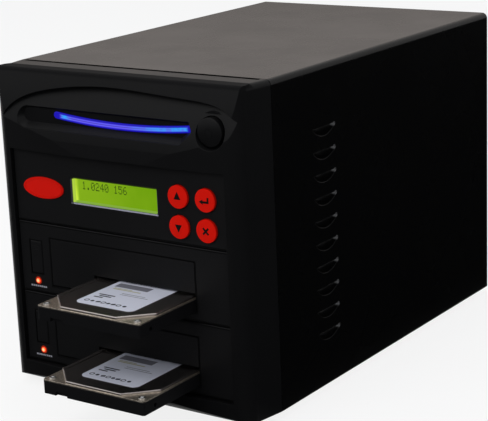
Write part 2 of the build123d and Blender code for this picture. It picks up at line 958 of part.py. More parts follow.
# Controller board: lies on the cage's standoffs, with chips, a heat sink and sockets
controller_z = cage_shelf + plate_sheet + standoff_height
controller_middle = deep(controller_front + controller_length / 2)
chip_sizes = [
    (-30.0, 12.0, 24.0, 24.0, 2.0),
    (18.0, 20.0, 14.0, 20.0, 1.2),
    (42.0, 20.0, 14.0, 20.0, 1.2),
    (-2.0, -26.0, 12.0, 12.0, 1.6),
]
sink_fins = 7
sink_fin_thickness = 1.2
sink_size = 26.0
sink_height = 12.0
sink_plate = 2.0
header_places = (-40.0, -18.0, 40.0)
header_inset = 10.0
header_width = 6.0
header_y = controller_middle - controller_length / 2 + header_inset
header_length = 17.0
header_height = 8.0
with BuildPart() as controller_board:
    with BuildSketch(Plane.XY.offset(controller_z)):
        with Locations((0, controller_middle)):
            Rectangle(controller_width, controller_length)
    extrude(amount=board_thickness)
    for chip_x, chip_y, chip_width, chip_length, chip_height in chip_sizes:
        with BuildSketch(Plane.XY.offset(controller_z + board_thickness)):
            with Locations((chip_x, controller_middle + chip_y)):
                Rectangle(chip_width, chip_length)
        extrude(amount=chip_height)
    sink_x, sink_y = chip_sizes[0][0], controller_middle + chip_sizes[0][1]
    sink_base = controller_z + board_thickness + chip_sizes[0][4]
    with BuildSketch(Plane.XY.offset(sink_base)):
        with Locations((sink_x, sink_y)):
            Rectangle(sink_size, sink_size)
    extrude(amount=sink_plate)
    with BuildSketch(Plane.XY.offset(sink_base + sink_plate)):
        with Locations((sink_x, sink_y)):
            with GridLocations(sink_size / sink_fins, 1, sink_fins, 1):
                Rectangle(sink_fin_thickness, sink_size)
    extrude(amount=sink_height - sink_plate)
    with BuildSketch(Plane.XY.offset(controller_z + board_thickness)):
        with Locations(*[(x, header_y) for x in header_places]):
            Rectangle(header_length, header_width)
    extrude(amount=header_height)
finish(controller_board, "controller_board")

# Values shared by both racks
door_left = -door_half + door_gap
door_right = door_half - door_gap
bay_half = door_half + bay_wall_gap
hinge_y = deep(hinge_depth)
drive_left = drive_centre - drive_width / 2
drive_right = drive_centre + drive_width / 2
socket_x = drive_centre + socket_offset
seat_depth = drive_length - drive_seated_out
socket_front_depth = seat_depth - socket_reach
socket_board_depth = socket_front_depth + socket_length
socket_board_drop = 4.0
shell_tail = 6.0
shell_back = socket_board_depth + board_thickness + shell_tail
ceiling = rack_height - rack_sheet
channel_wall = bay_half + rack_sheet
channel_width = rack_width / 2 - channel_wall - rack_sheet
eject_x = (eject_left + eject_right) / 2
eject_z = (eject_bottom + eject_top) / 2
rack_names = ("lower", "upper")
shell_vent_rows = 5
guide_thickness = 2.0
rod_gap = 0.3
knuckle_sides = (-1, 1)
door_back = deep(face_wall)
door_top_gap = 0.3
lip_front = face_wall + back_gap
lip_back = lip_front + door_lip_thickness
lip_root = 4.0
lip_step = 2.0
arm_root = 12.0
eject_flange_front = face_wall + back_gap

# Eject lever: the rod turns it about an upright post, and its long arm reaches
# behind the seated drive and pushes it out
lever_pivot_gap = 5.0
lever_pivot_x = -bay_half - lever_pivot_gap
lever_thickness = 1.4
lever_rest_gap = 0.3
lever_arm = 44.5
lever_tail = 8.0
lever_low = 8.0
lever_high = 14.0
lever_tail_low = 18.0
lever_top = 23.0
lever_eye = 3.0
lever_post = 1.5
lever_bore_gap = 0.1
lever_collar = 2.6
lever_play = 0.2
lever_slot_margin = 0.4
lever_cap = 1.0
rod_stop = 0.2
lever_front = seat_depth + lever_rest_gap
lever_depth = lever_front + lever_thickness / 2
lever_y = deep(lever_depth)
lever_swing = asin(eject_travel / (lever_pivot_x - eject_x))
lever_sweep = lever_pivot_gap * tan(lever_swing) + lever_thickness / 2 / cos(lever_swing)
lever_slot_front = lever_depth - lever_sweep - lever_slot_margin
rod_end = seat_depth - rod_stop

# Circuit board let into the underside of each drive
drive_board_thickness = 1.0
drive_board_recess = 1.2
drive_board_width = 62.0
drive_board_length = 46.0
drive_board_corner = 3.0
drive_board_gap = 0.3
drive_board_back = 9.0

# Small features of the drives
drive_notch_x = 13.0
drive_notch_width = 8.0
drive_notch_height = 2.2
drive_notch_depth = 1.6
drive_holes = (14.0, 90.6)
drive_hole_z = 3.0
drive_hole_radius = 1.25
drive_hole_depth = 3.0
lid_inset = 0.7
lid_round = 0.7
lid_corner_rim = 1.5
drive_head_inset = 3.9
drive_head_radius = 2.0
drive_head_height = 0.7
drive_head_recess = 0.4
drive_front = -drive_out
drive_back = drive_front + drive_length
drive_middle = deep(drive_front + drive_length / 2)
label_y = deep(drive_front + label_front + label_length / 2)
drive_board_y = deep(drive_back - drive_board_back - drive_board_length / 2)
drive_head_places = [
    (drive_left + drive_head_inset, deep(drive_front) + drive_head_inset),
    (drive_right - drive_head_inset, deep(drive_front) + drive_head_inset),
]


def lid_outline(inset, corner):
    """Edges inside the drive's own, cut across the four corners."""
    front = deep(drive_front)
    back = deep(drive_back)
    with BuildLine(Plane.XY, mode=Mode.PRIVATE) as outline:
        Polyline(
            (drive_left + drive_corner_cut + corner, front + inset),
            (drive_right - drive_corner_cut - corner, front + inset),
            (drive_right - inset, front + drive_corner_cut + corner),
            (drive_right - inset, back - drive_rear_cut - corner),
            (drive_right - drive_rear_cut - corner, back - inset),
            (drive_left + drive_rear_cut + corner, back - inset),
            (drive_left + inset, back - drive_rear_cut - corner),
            (drive_left + inset, front + drive_corner_cut + corner),
            close=True,
        )
    return outline.edges()


for bay, rack_name in enumerate(rack_names):
    floor_z = face_bottom(bay)
    hinge_z = floor_z + hinge_height
    drive_z = floor_z + drive_lift

    # Face: moulded plate with the door opening, the button hole and the lamp
    # hole, and rounded ears behind it that hold the hinge pin
    with BuildPart() as rack_face:
        with BuildSketch(facing(face_wall)):
            with Locations((0, floor_z)):
                Rectangle(face_width, face_height, align=(Align.CENTER, Align.MIN))
        extrude(amount=face_wall)
        fillet(rack_face.faces().sort_by(Axis.Y)[0].edges(), radius=face_round)
        with BuildSketch(facing(face_wall)):
            with Locations((0, floor_z + door_bottom)):
                Rectangle(2 * door_half, door_top - door_bottom, align=(Align.CENTER, Align.MIN))
            with Locations((eject_x, floor_z + eject_z)):
                Rectangle(
                    eject_right - eject_left + 2 * eject_gap,
                    eject_top - eject_bottom + 2 * eject_gap,
                )
            with Locations((led_x, floor_z + led_z)):
                Circle(led_radius)
        extrude(amount=face_wall, mode=Mode.SUBTRACT)
        for side in knuckle_sides:
            for offset in (-1, 1):
                ear_x = side * knuckle_place + offset * (knuckle_width / 2 + ear_gap + ear_width / 2)
                with BuildSketch(Plane.YZ.offset(ear_x - ear_width / 2)):
                    with Locations((hinge_y, hinge_z)):
                        Circle(knuckle_radius)
                    with Locations((deep(face_wall), hinge_z)):
                        Rectangle(
                            hinge_depth - face_wall,
                            2 * knuckle_radius,
                            align=(Align.MIN, Align.CENTER),
                        )
                    with Locations((hinge_y, hinge_z)):
                        Circle(pin_radius, mode=Mode.SUBTRACT)
                extrude(amount=ear_width)
    finish(rack_face, f"{rack_name}_rack_face")

    # Hinge pin across all four ears
    pin_half = knuckle_place + knuckle_width / 2 + ear_gap + ear_width
    with BuildPart() as hinge_pin:
        with BuildSketch(Plane.YZ.offset(-pin_half)):
            with Locations((hinge_y, hinge_z)):
                Circle(pin_radius)
        extrude(amount=2 * pin_half)
    finish(hinge_pin, f"{rack_name}_hinge_pin")

    # Door: flush flap with the slot for the small drives cut out of its corner,
    # a stop lip behind the face and two arms that rise to the hinge pin
    with BuildPart() as rack_door:
        with BuildSketch(facing(face_wall)):
            with Locations((door_left, floor_z + door_bottom + door_gap)):
                Rectangle(
                    door_right - door_left,
                    door_top - door_bottom - door_gap - door_top_gap,
                    align=(Align.MIN, Align.MIN),
                )
            with Locations((slot_left - door_gap, floor_z)):
                Rectangle(
                    2 * door_half,
                    slot_top,
                    align=(Align.MIN, Align.MIN),
                    mode=Mode.SUBTRACT,
                )
        extrude(amount=face_wall)
        front_edges = rack_door.faces().sort_by(Axis.Y)[0].edges()
        low_edges = front_edges.filter_by(Axis.X).sort_by(Axis.Z)[:2]
        chamfer(low_edges, length=slot_chamfer)
        top_z = floor_z + door_top
        with BuildSketch(Plane.YZ.offset(-door_lip_half)):
            with BuildLine():
                Polyline(
                    (door_back, top_z - lip_root),
                    (door_back, top_z - lip_step / 2),
                    (deep(lip_front), top_z - 2 * door_top_gap),
                    (deep(lip_front), floor_z + door_lip_top),
                    (deep(lip_back), floor_z + door_lip_top),
                    (deep(lip_back), top_z - lip_step),
                    close=True,
                )
            make_face()
        extrude(amount=2 * door_lip_half)
        for side in knuckle_sides:
            with BuildSketch(Plane.YZ.offset(side * knuckle_place - knuckle_width / 2)):
                with Locations((hinge_y, hinge_z)):
                    Circle(knuckle_radius)
                with BuildLine():
                    Polyline(
                        (door_back, top_z - arm_root),
                        (door_back, top_z - 2 * door_top_gap),
                        (hinge_y - knuckle_radius, top_z - door_top_gap),
                        (hinge_y - knuckle_radius, hinge_z),
                        (hinge_y + knuckle_radius, hinge_z),
                        (hinge_y + knuckle_radius * 0.6, top_z - lip_step),
                        close=True,
                    )
                make_face()
                with Locations((hinge_y, hinge_z)):
                    Circle(pin_radius + pin_clearance, mode=Mode.SUBTRACT)
            extrude(amount=knuckle_width)
    finish(rack_door, f"{rack_name}_rack_door")

    # Door spring: close-wound sleeve round the pin with a leg down the door's back
    with BuildPart() as door_spring:
        with BuildSketch(Plane.YZ.offset(-spring_half)):
            with Locations((hinge_y, hinge_z)):
                Circle(spring_radius)
                Circle(spring_radius - spring_wire, mode=Mode.SUBTRACT)
        extrude(amount=2 * spring_half)
        with BuildSketch(Plane.YZ.offset(spring_half - spring_wire)):
            with BuildLine():
                leg_top = hinge_z - spring_radius * 0.75
                Polyline(
                    (deep(lip_back), leg_top),
                    (deep(lip_back + spring_wire), leg_top),
                    (deep(lip_back + spring_wire), hinge_z - spring_leg),
                    (deep(lip_back), hinge_z - spring_leg),
                    close=True,
                )
            make_face()
        extrude(amount=spring_wire)
    finish(door_spring, f"{rack_name}_door_spring")

    # Shell: folded steel tray with the drive bay and a side channel for the rod
    with BuildPart() as rack_shell:
        with BuildSketch(facing(shell_back)):
            with Locations((0, floor_z)):
                Rectangle(rack_width, rack_height, align=(Align.CENTER, Align.MIN))
            with Locations((0, floor_z + bay_floor)):
                Rectangle(
                    2 * bay_half,
                    ceiling - bay_floor,
                    align=(Align.CENTER, Align.MIN),
                    mode=Mode.SUBTRACT,
                )
            with Locations((0, floor_z)):
                Rectangle(
                    2 * bay_half,
                    bay_floor - rack_sheet,
                    align=(Align.CENTER, Align.MIN),
                    mode=Mode.SUBTRACT,
                )
            for side in (-1, 1):
                with Locations((side * (channel_wall + channel_width / 2), floor_z + rack_sheet)):
                    Rectangle(
                        channel_width,
                        rack_height - 2 * rack_sheet,
                        align=(Align.CENTER, Align.MIN),
                        mode=Mode.SUBTRACT,
                    )
        extrude(amount=shell_back - face_wall)
        with BuildSketch(facing(guide_depth)):
            with Locations((-channel_wall - channel_width / 2, floor_z + rack_sheet)):
                Rectangle(channel_width, rack_height - 2 * rack_sheet, align=(Align.CENTER, Align.MIN))
            with Locations((eject_x, floor_z + eject_z)):
                Rectangle(eject_rod + 2 * rod_gap, eject_rod + 2 * rod_gap, mode=Mode.SUBTRACT)
        extrude(amount=guide_thickness)
        with BuildSketch(Plane.XY.offset(floor_z + ceiling)):
            with Locations((0, deep((hinge_depth + shell_back) / 2))):
                with GridLocations(2 * vent_slot_length, vent_pitch, 2, shell_vent_rows):
                    SlotOverall(vent_slot_length, vent_slot_width)
        extrude(amount=rack_sheet, mode=Mode.SUBTRACT)
        for side in (-1, 1):
            with BuildSketch(Plane.YZ.offset(side * rack_width / 2)):
                with Locations(*[(deep(depth), floor_z + rack_screw_height) for depth in rack_screw_depths]):
                    Circle(screw_shank + fit_gap)
            extrude(amount=-side * rack_sheet, mode=Mode.SUBTRACT)
        with BuildSketch(Plane.YZ.offset(-bay_half)):
            with Locations((deep(lever_slot_front), floor_z + lever_low - lever_slot_margin)):
                Rectangle(
                    socket_board_depth - lever_slot_front,
                    lever_high - lever_low + 2 * lever_slot_margin,
                    align=(Align.MIN, Align.MIN),
                )
        extrude(amount=-rack_sheet, mode=Mode.SUBTRACT)
        for radius, low, high in (
            (lever_collar, rack_sheet, lever_low - lever_play),
            (lever_post, rack_sheet, lever_top + lever_play + lever_cap),
            (lever_collar, lever_top + lever_play, lever_top + lever_play + lever_cap),
        ):
            with BuildSketch(Plane.XY.offset(floor_z + low)):
                with Locations((lever_pivot_x, lever_y)):
                    Circle(radius)
            extrude(amount=high - low)
    finish(rack_shell, f"{rack_name}_rack_shell")

    # Lever: an eye on the post, a long blade into the bay and a short tail to the rod
    with BuildPart() as eject_lever:
        with BuildSketch(Plane.XY.offset(floor_z + lever_low)):
            with Locations((lever_pivot_x, lever_y)):
                Circle(lever_eye)
        extrude(amount=lever_top - lever_low)
        for reach, low, high in (
            (lever_arm, lever_low, lever_high),
            (-lever_tail, lever_tail_low, lever_top),
        ):
            with BuildSketch(Plane.XY.offset(floor_z + low)):
                with Locations((lever_pivot_x + reach / 2, lever_y)):
                    Rectangle(abs(reach), lever_thickness)
            extrude(amount=high - low)
        with BuildSketch(Plane.XY.offset(floor_z + lever_low)):
            with Locations((lever_pivot_x, lever_y)):
                Circle(lever_post + lever_bore_gap)
        extrude(amount=lever_top - lever_low, mode=Mode.SUBTRACT)
    finish(eject_lever, f"{rack_name}_eject_lever")

    # Eject button: tall cap with a flange behind the face and a long rod
    with BuildPart() as eject_button:
        with BuildSketch(facing(eject_flange_front)):
            with Locations((eject_x, floor_z + eject_z)):
                Rectangle(eject_right - eject_left, eject_top - eject_bottom)
        extrude(amount=eject_flange_front)
        fillet(eject_button.faces().sort_by(Axis.Y)[0].edges(), radius=face_round)
        with BuildSketch(facing(eject_flange_front + eject_flange)):
            with Locations((eject_x, floor_z + eject_z)):
                Rectangle(
                    eject_right - eject_left + 2 * eject_flange_lip,
                    eject_top - eject_bottom + 2 * eject_flange_lip,
                )
        extrude(amount=eject_flange)
        with BuildSketch(facing(rod_end)):
            with Locations((eject_x, floor_z + eject_z)):
                Rectangle(eject_rod, eject_rod)
        extrude(amount=rod_end - eject_flange_front)
    finish(eject_button, f"{rack_name}_eject_button")

    # Lamp lens pressed into the face
    with BuildPart() as lamp_lens:
        with BuildSketch(facing(led_length)):
            with Locations((led_x, floor_z + led_z)):
                Circle(led_radius)
        extrude(amount=led_length + led_radius / 2)
        fillet(lamp_lens.faces().sort_by(Axis.Y)[0].edges(), radius=led_radius * 0.45)
    finish(lamp_lens, f"{rack_name}_lamp_lens")

    # Socket board: upright board across the bay with the data and power socket
    tongue_z = drive_z + tongue_lift
    with BuildPart() as socket_board:
        with BuildSketch(facing(socket_board_depth + board_thickness)):
            with Locations((0, floor_z + bay_floor)):
                Rectangle(
                    2 * bay_half,
                    ceiling - bay_floor - socket_board_drop,
                    align=(Align.CENTER, Align.MIN),
                )
        extrude(amount=board_thickness)
        with BuildSketch(facing(socket_board_depth)):
            with Locations((socket_x, tongue_z)):
                Rectangle(socket_width, socket_height)
                Rectangle(
                    tongue_width + 2 * socket_gap,
                    tongue_thickness + 2 * socket_gap,
                    mode=Mode.SUBTRACT,
                )
        extrude(amount=socket_length)
    finish(socket_board, f"{rack_name}_socket_board")

    # Drive body: cast base with the connector recess, a front notch, screw holes
    # in its sides and a shallow recess underneath for the circuit board
    with BuildPart() as drive_body:
        with BuildSketch(Plane.XY.offset(drive_z)):
            with Locations((drive_centre, deep(drive_front + drive_length / 2))):
                RectangleRounded(drive_width, drive_length, drive_corner_radius)
        extrude(amount=drive_body_height)
        with BuildSketch(facing(drive_back)):
            with Locations((socket_x, drive_z)):
                Rectangle(
                    socket_width + 2 * socket_gap,
                    2 * (tongue_lift + socket_height / 2 + socket_gap),
                )
            with Locations((socket_x, tongue_z)):
                Rectangle(tongue_width, tongue_thickness, mode=Mode.SUBTRACT)
        extrude(amount=socket_reach + socket_gap, mode=Mode.SUBTRACT)
        with BuildSketch(facing(drive_front)):
            with Locations((drive_left + drive_notch_x, drive_z)):
                Rectangle(drive_notch_width, 2 * drive_notch_height)
        extrude(amount=-drive_notch_depth, mode=Mode.SUBTRACT)
        for side_x, inward in ((drive_left, 1), (drive_right, -1)):
            with BuildSketch(Plane.YZ.offset(side_x)):
                with Locations(*[(deep(drive_back - hole), drive_z + drive_hole_z) for hole in drive_holes]):
                    Circle(drive_hole_radius)
            extrude(amount=inward * drive_hole_depth, mode=Mode.SUBTRACT)
        with BuildSketch(Plane.XY.offset(drive_z)):
            with Locations((drive_centre, drive_board_y)):
                RectangleRounded(
                    drive_board_width + 2 * drive_board_gap,
                    drive_board_length + 2 * drive_board_gap,
                    drive_board_corner,
                )
        extrude(amount=drive_board_recess, mode=Mode.SUBTRACT)
    finish(drive_body, f"{rack_name}_drive_body")

    with BuildPart() as drive_board:
        with BuildSketch(Plane.XY.offset(drive_z + drive_board_recess)):
            with Locations((drive_centre, drive_board_y)):
                RectangleRounded(drive_board_width, drive_board_length, drive_board_corner - drive_board_gap)
        extrude(amount=-drive_board_thickness)
    finish(drive_board, f"{rack_name}_drive_board")

    # Drive cover: bright deck with a raised, rimmed lid cut across its corners
    deck_z = drive_z + drive_body_height
    lid_z = deck_z + drive_deck
    with BuildPart() as drive_cover:
        with BuildSketch(Plane.XY.offset(deck_z)):
            with Locations((drive_centre, drive_middle)):
                RectangleRounded(drive_width, drive_length, drive_corner_radius)
        extrude(amount=drive_deck)
        with BuildSketch(Plane.XY.offset(lid_z)):
            make_face(lid_outline(lid_inset, 0))
        extrude(amount=drive_height - drive_body_height - drive_deck)
        lid_top = drive_cover.faces().sort_by(Axis.Z)[-1]
        fillet(lid_top.edges(), radius=lid_round)
        with BuildSketch(Plane.XY.offset(drive_z + drive_height)):
            make_face(lid_outline(lid_inset + drive_rim, lid_corner_rim))
        extrude(amount=-drive_pocket, mode=Mode.SUBTRACT)
    finish(drive_cover, f"{rack_name}_drive_cover")

    # Drive label: thin bare sticker in the lid's pocket
    label_z = drive_z + drive_height - drive_pocket
    with BuildPart() as drive_label:
        with BuildSketch(Plane.XY.offset(label_z)):
            with Locations(((label_left + label_right) / 2, label_y)):
                RectangleRounded(label_right - label_left, label_length, label_radius)
        extrude(amount=label_thickness)
    finish(drive_label, f"{rack_name}_drive_label")

    # Drive screws: two low heads on the open corners of the deck
    with BuildPart() as drive_screws:
        with BuildSketch(Plane.XY.offset(lid_z)):
            with Locations(*drive_head_places):
                Circle(drive_head_radius)
        extrude(amount=drive_head_height)
        with BuildSketch(Plane.XY.offset(lid_z + drive_head_height)):
            with Locations(*drive_head_places):
                RegularPolygon(drive_head_radius / 2, 6)
        extrude(amount=-drive_head_recess, mode=Mode.SUBTRACT)
    finish(drive_screws, f"{rack_name}_drive_screws")

# Power supply and rear panel share these places
psu_back = rear_panel_front
psu_front = controller_back + psu_front_gap
psu_depth = psu_back - psu_front
psu_width = case_width - 2 * psu_side_gap
psu_bottom = cage_shelf + plate_sheet
psu_height = inner_top - psu_headroom - psu_bottom
psu_middle = psu_bottom + psu_height / 2
psu_fan_size = psu_height - 2 * psu_fan_margin
inlet_flange = (30.0, 23.0)
inlet_x = psu_width / 2 - inlet_inset
psu_fan_left = psu_sheet - psu_width / 2
psu_fan_room = inlet_x - inlet_flange[0] / 2 - psu_fan_left
psu_fan_x = psu_fan_left + psu_fan_shift * (psu_fan_room - psu_fan_size) + psu_fan_size / 2
psu_screw_x = psu_width / 2 - psu_screw_inset
psu_screw_z = psu_height / 2 - psu_screw_inset
psu_screw_places = [
    (side * psu_screw_x, psu_middle + end * psu_screw_z)
    for side in (-1, 1)
    for end in (-1, 1)
]
psu_opening_width = psu_width - 2 * psu_opening_margin
psu_opening_height = psu_height - 2 * psu_opening_margin
fan_screw_places = [
    (rear_fan_x + side * fan_hole_pitch / 2, rear_fan_z + end * fan_hole_pitch / 2)
    for side in (-1, 1)
    for end in (-1, 1)
]
flange_screw_places = [(side * flange_middle, height) for side in (-1, 1) for height in rear_screw_heights]


def grille(centre_x, centre_z, size):
    """Ring slots of a punched grille for a fan of this size, broken by four spokes."""
    share = size / fan_size
    with Locations((centre_x, centre_z)):
        for ring in reversed(grille_rings):
            Circle((ring + grille_slot / 2) * share)
            Circle((ring - grille_slot / 2) * share, mode=Mode.SUBTRACT)
        for turn in (45, 135):
            Rectangle(size, grille_spoke, rotation=turn, mode=Mode.SUBTRACT)


# Rear panel: sheet with the fan grille and the opening for the power supply
with BuildPart() as rear_panel:
    with BuildSketch(facing(rear_panel_back)):
        with Locations((0, case_bottom)):
            RectangleRounded(
                2 * inner_half,
                inner_top - case_bottom - fit_gap,
                cover_edge_radius - cover_sheet,
                align=(Align.CENTER, Align.MIN),
            )
        with Locations((0, psu_middle)):
            Rectangle(psu_opening_width, psu_opening_height, mode=Mode.SUBTRACT)
        corner_x = (psu_opening_width - psu_tab) / 2
        corner_z = (psu_opening_height - psu_tab) / 2
        with Locations((0, psu_middle)):
            with GridLocations(2 * corner_x, 2 * corner_z, 2, 2):
                Rectangle(psu_tab, psu_tab)
        with Locations(*psu_screw_places, *fan_screw_places, *flange_screw_places):
            Circle(screw_shank + fit_gap, mode=Mode.SUBTRACT)
    extrude(amount=plate_sheet)
    with BuildSketch(facing(rear_panel_back)):
        grille(rear_fan_x, rear_fan_z, fan_size)
    extrude(amount=plate_sheet, mode=Mode.SUBTRACT)
finish(rear_panel, "rear_panel")

# Power supply case: steel box with its own grille, inlet and switch openings
rocker_x = inlet_x
inlet_height = psu_bottom + inlet_rise * psu_height
rocker_height = psu_bottom + rocker_rise * psu_height
inlet_body = (27.0, 19.8)
rocker_body = (12.6, 21.4)
rocker_flange = (15.0, 24.0)
supply_vent_rows = 7
with BuildPart() as psu_case:
    with BuildSketch(facing(psu_back)):
        with Locations((0, psu_middle)):
            Rectangle(psu_width, psu_height)
    extrude(amount=psu_depth)
    with BuildSketch(facing(psu_back - psu_sheet)):
        with Locations((0, psu_middle)):
            Rectangle(psu_width - 2 * psu_sheet, psu_height - 2 * psu_sheet)
    extrude(amount=psu_depth - 2 * psu_sheet, mode=Mode.SUBTRACT)
    with BuildSketch(facing(psu_back)):
        grille(psu_fan_x, psu_middle, psu_fan_size)
        with Locations((inlet_x, inlet_height)):
            Rectangle(*inlet_body)
        with Locations((rocker_x, rocker_height)):
            Rectangle(*rocker_body)
        with Locations(*psu_screw_places):
            Circle(screw_shank + fit_gap)
    extrude(amount=psu_sheet, mode=Mode.SUBTRACT)
    with BuildSketch(facing(psu_front + psu_sheet)):
        with Locations((0, psu_middle)):
            with GridLocations(2 * vent_slot_length, vent_pitch, 2, supply_vent_rows):
                SlotOverall(vent_slot_length, vent_slot_width)
    extrude(amount=psu_sheet, mode=Mode.SUBTRACT)
finish(psu_case, "psu_case")

# Power inlet: three-pin socket with two cut corners, its flange outside the case
inlet_flange_thickness = 2.0
inlet_recess = (24.0, 16.2)
inlet_corner = 4.5
inlet_recess_depth = 15.0
inlet_wall = 1.5
inlet_pin = (2.0, 4.0)
inlet_pin_length = 12.0
inlet_pins = [(-7.0, -1.5), (7.0, -1.5), (0.0, 2.0)]
inlet_face = psu_back + inlet_flange_thickness
inlet_floor = inlet_face - inlet_recess_depth
with BuildPart() as power_inlet:
    with BuildSketch(facing(inlet_face)):
        with Locations((inlet_x, inlet_height)):
            RectangleRounded(*inlet_flange, 2.0)
    extrude(amount=inlet_flange_thickness)
    with BuildSketch(facing(psu_back)):
        with Locations((inlet_x, inlet_height)):
            Rectangle(*inlet_body)
    extrude(amount=inlet_recess_depth - inlet_flange_thickness + inlet_wall)
    with BuildSketch(facing(inlet_face)):
        with BuildLine():
            half_x, half_z = inlet_recess[0] / 2, inlet_recess[1] / 2
            Polyline(
                (inlet_x - half_x, inlet_height - half_z),
                (inlet_x + half_x, inlet_height - half_z),
                (inlet_x + half_x, inlet_height + half_z - inlet_corner),
                (inlet_x + half_x - inlet_corner, inlet_height + half_z),
                (inlet_x - half_x + inlet_corner, inlet_height + half_z),
                (inlet_x - half_x, inlet_height + half_z - inlet_corner),
                close=True,
            )
        make_face()
    extrude(amount=inlet_recess_depth, mode=Mode.SUBTRACT)
    with BuildSketch(facing(inlet_floor + inlet_pin_length)):
        with Locations(*[(inlet_x + pin_x, inlet_height + pin_z) for pin_x, pin_z in inlet_pins]):
            Rectangle(*inlet_pin)
    extrude(amount=inlet_pin_length)
finish(power_inlet, "power_inlet")

# Power rocker: housing with a round pocket, and the rocker tilted to its on side
rocker_tilt = 10.0
rocker_flange_thickness = 1.5
rocker_axis_sink = 3.0
rocker_width = 9.6
rocker_tip = (3.4, 8.3)
rocker_waist = 1.6
rocker_radius = sqrt(rocker_tip[0] ** 2 + rocker_tip[1] ** 2)
rocker_side_gap = 0.3
rocker_pocket = rocker_radius + rocker_side_gap
rocker_pin_radius = 1.2
rocker_pin_length = 0.9
rocker_axis_depth = psu_back + rocker_flange_thickness - rocker_axis_sink
rocker_housing_depth = rocker_pocket + 1.2 - rocker_axis_sink + rocker_flange_thickness
with BuildPart() as rocker_housing:
    with BuildSketch(facing(psu_back + rocker_flange_thickness)):
        with Locations((rocker_x, rocker_height)):
            RectangleRounded(*rocker_flange, 1.5)
    extrude(amount=rocker_flange_thickness)
    with BuildSketch(facing(psu_back)):
        with Locations((rocker_x, rocker_height)):
            Rectangle(*rocker_body)
    extrude(amount=rocker_housing_depth)
    with BuildSketch(Plane.YZ.offset(rocker_x)):
        with Locations((deep(rocker_axis_depth), rocker_height)):
            Circle(rocker_pocket)
    extrude(amount=rocker_width / 2 + rocker_side_gap, both=True, mode=Mode.SUBTRACT)
    with BuildSketch(Plane.YZ.offset(rocker_x)):
        with Locations((deep(rocker_axis_depth), rocker_height)):
            Circle(rocker_pin_radius + pin_clearance)
    extrude(amount=rocker_body[0] / 2, both=True, mode=Mode.SUBTRACT)
finish(rocker_housing, "rocker_housing")

rocker_plane = Plane(
    origin=(rocker_x, deep(rocker_axis_depth), rocker_height),
    x_dir=(0, cos(radians(rocker_tilt)), -sin(radians(rocker_tilt))),
    z_dir=(1, 0, 0),
)
with BuildPart() as power_rocker:
    with BuildSketch(rocker_plane):
        with BuildLine():
            Polyline(rocker_tip, (rocker_waist, 0), (rocker_tip[0], -rocker_tip[1]))
            ThreePointArc((rocker_tip[0], -rocker_tip[1]), (-rocker_radius, 0), rocker_tip)
        make_face()
    extrude(amount=rocker_width / 2, both=True)
    with BuildSketch(rocker_plane):
        Circle(rocker_pin_radius)
    extrude(amount=rocker_width / 2 + rocker_pin_length, both=True)
finish(power_rocker, "power_rocker")

# Fans: square frame with four struts behind, and a bladed rotor on a short shaft
fan_barrel = 1.4
fan_strut = 3.0
fan_strut_thickness = 2.5
fan_bearing = 3.2
fan_corner = 4.0
hub_wall = 1.5
hub_length = 17.0
hub_gap = 1.2
hub_start = fan_strut_thickness + hub_gap
shaft_sink = 0.5
blade_thickness = 1.4
blade_root = 14.4
blade_tip_round = 1.2
blade_tip = fan_bore - fan_tip_gap - blade_tip_round
blade_root_chord = 15.0
blade_tip_chord = 17.0
blade_root_pitch = 50.0
blade_tip_pitch = 62.0


def fan_frame(centre_x, centre_z, back, size):
    """Frame of a fan of this size whose rear face lies at this depth."""
    share = size / fan_size
    pitch = fan_hole_pitch * share
    bore = fan_bore * share
    hub = fan_hub * share
    with BuildPart() as frame:
        for level in (back, back - fan_depth + fan_flange):
            with BuildSketch(facing(level)):
                with Locations((centre_x, centre_z)):
                    RectangleRounded(size, size, fan_corner)
                    with GridLocations(pitch, pitch, 2, 2):
                        Circle(fan_hole, mode=Mode.SUBTRACT)
            extrude(amount=fan_flange)
        with BuildSketch(facing(back)):
            with Locations((centre_x, centre_z)):
                Circle(bore + fan_barrel)
        extrude(amount=fan_depth)
        with BuildSketch(facing(back)):
            with Locations((centre_x, centre_z)):
                Circle(bore)
        extrude(amount=fan_depth, mode=Mode.SUBTRACT)
        with BuildSketch(facing(back)):
            with Locations((centre_x, centre_z)):
                Circle(hub)
                Rectangle(2 * bore + fan_barrel, fan_strut)
                Rectangle(fan_strut, 2 * bore + fan_barrel)
        extrude(amount=fan_strut_thickness)
        with BuildSketch(facing(back)):
            with Locations((centre_x, centre_z)):
                Circle(fan_bearing)
        extrude(amount=hub_length - hub_wall)
        with BuildSketch(facing(back)):
            with Locations((centre_x, centre_z)):
                Circle(fan_shaft + pin_clearance)
        extrude(amount=fan_depth, mode=Mode.SUBTRACT)
    return frame


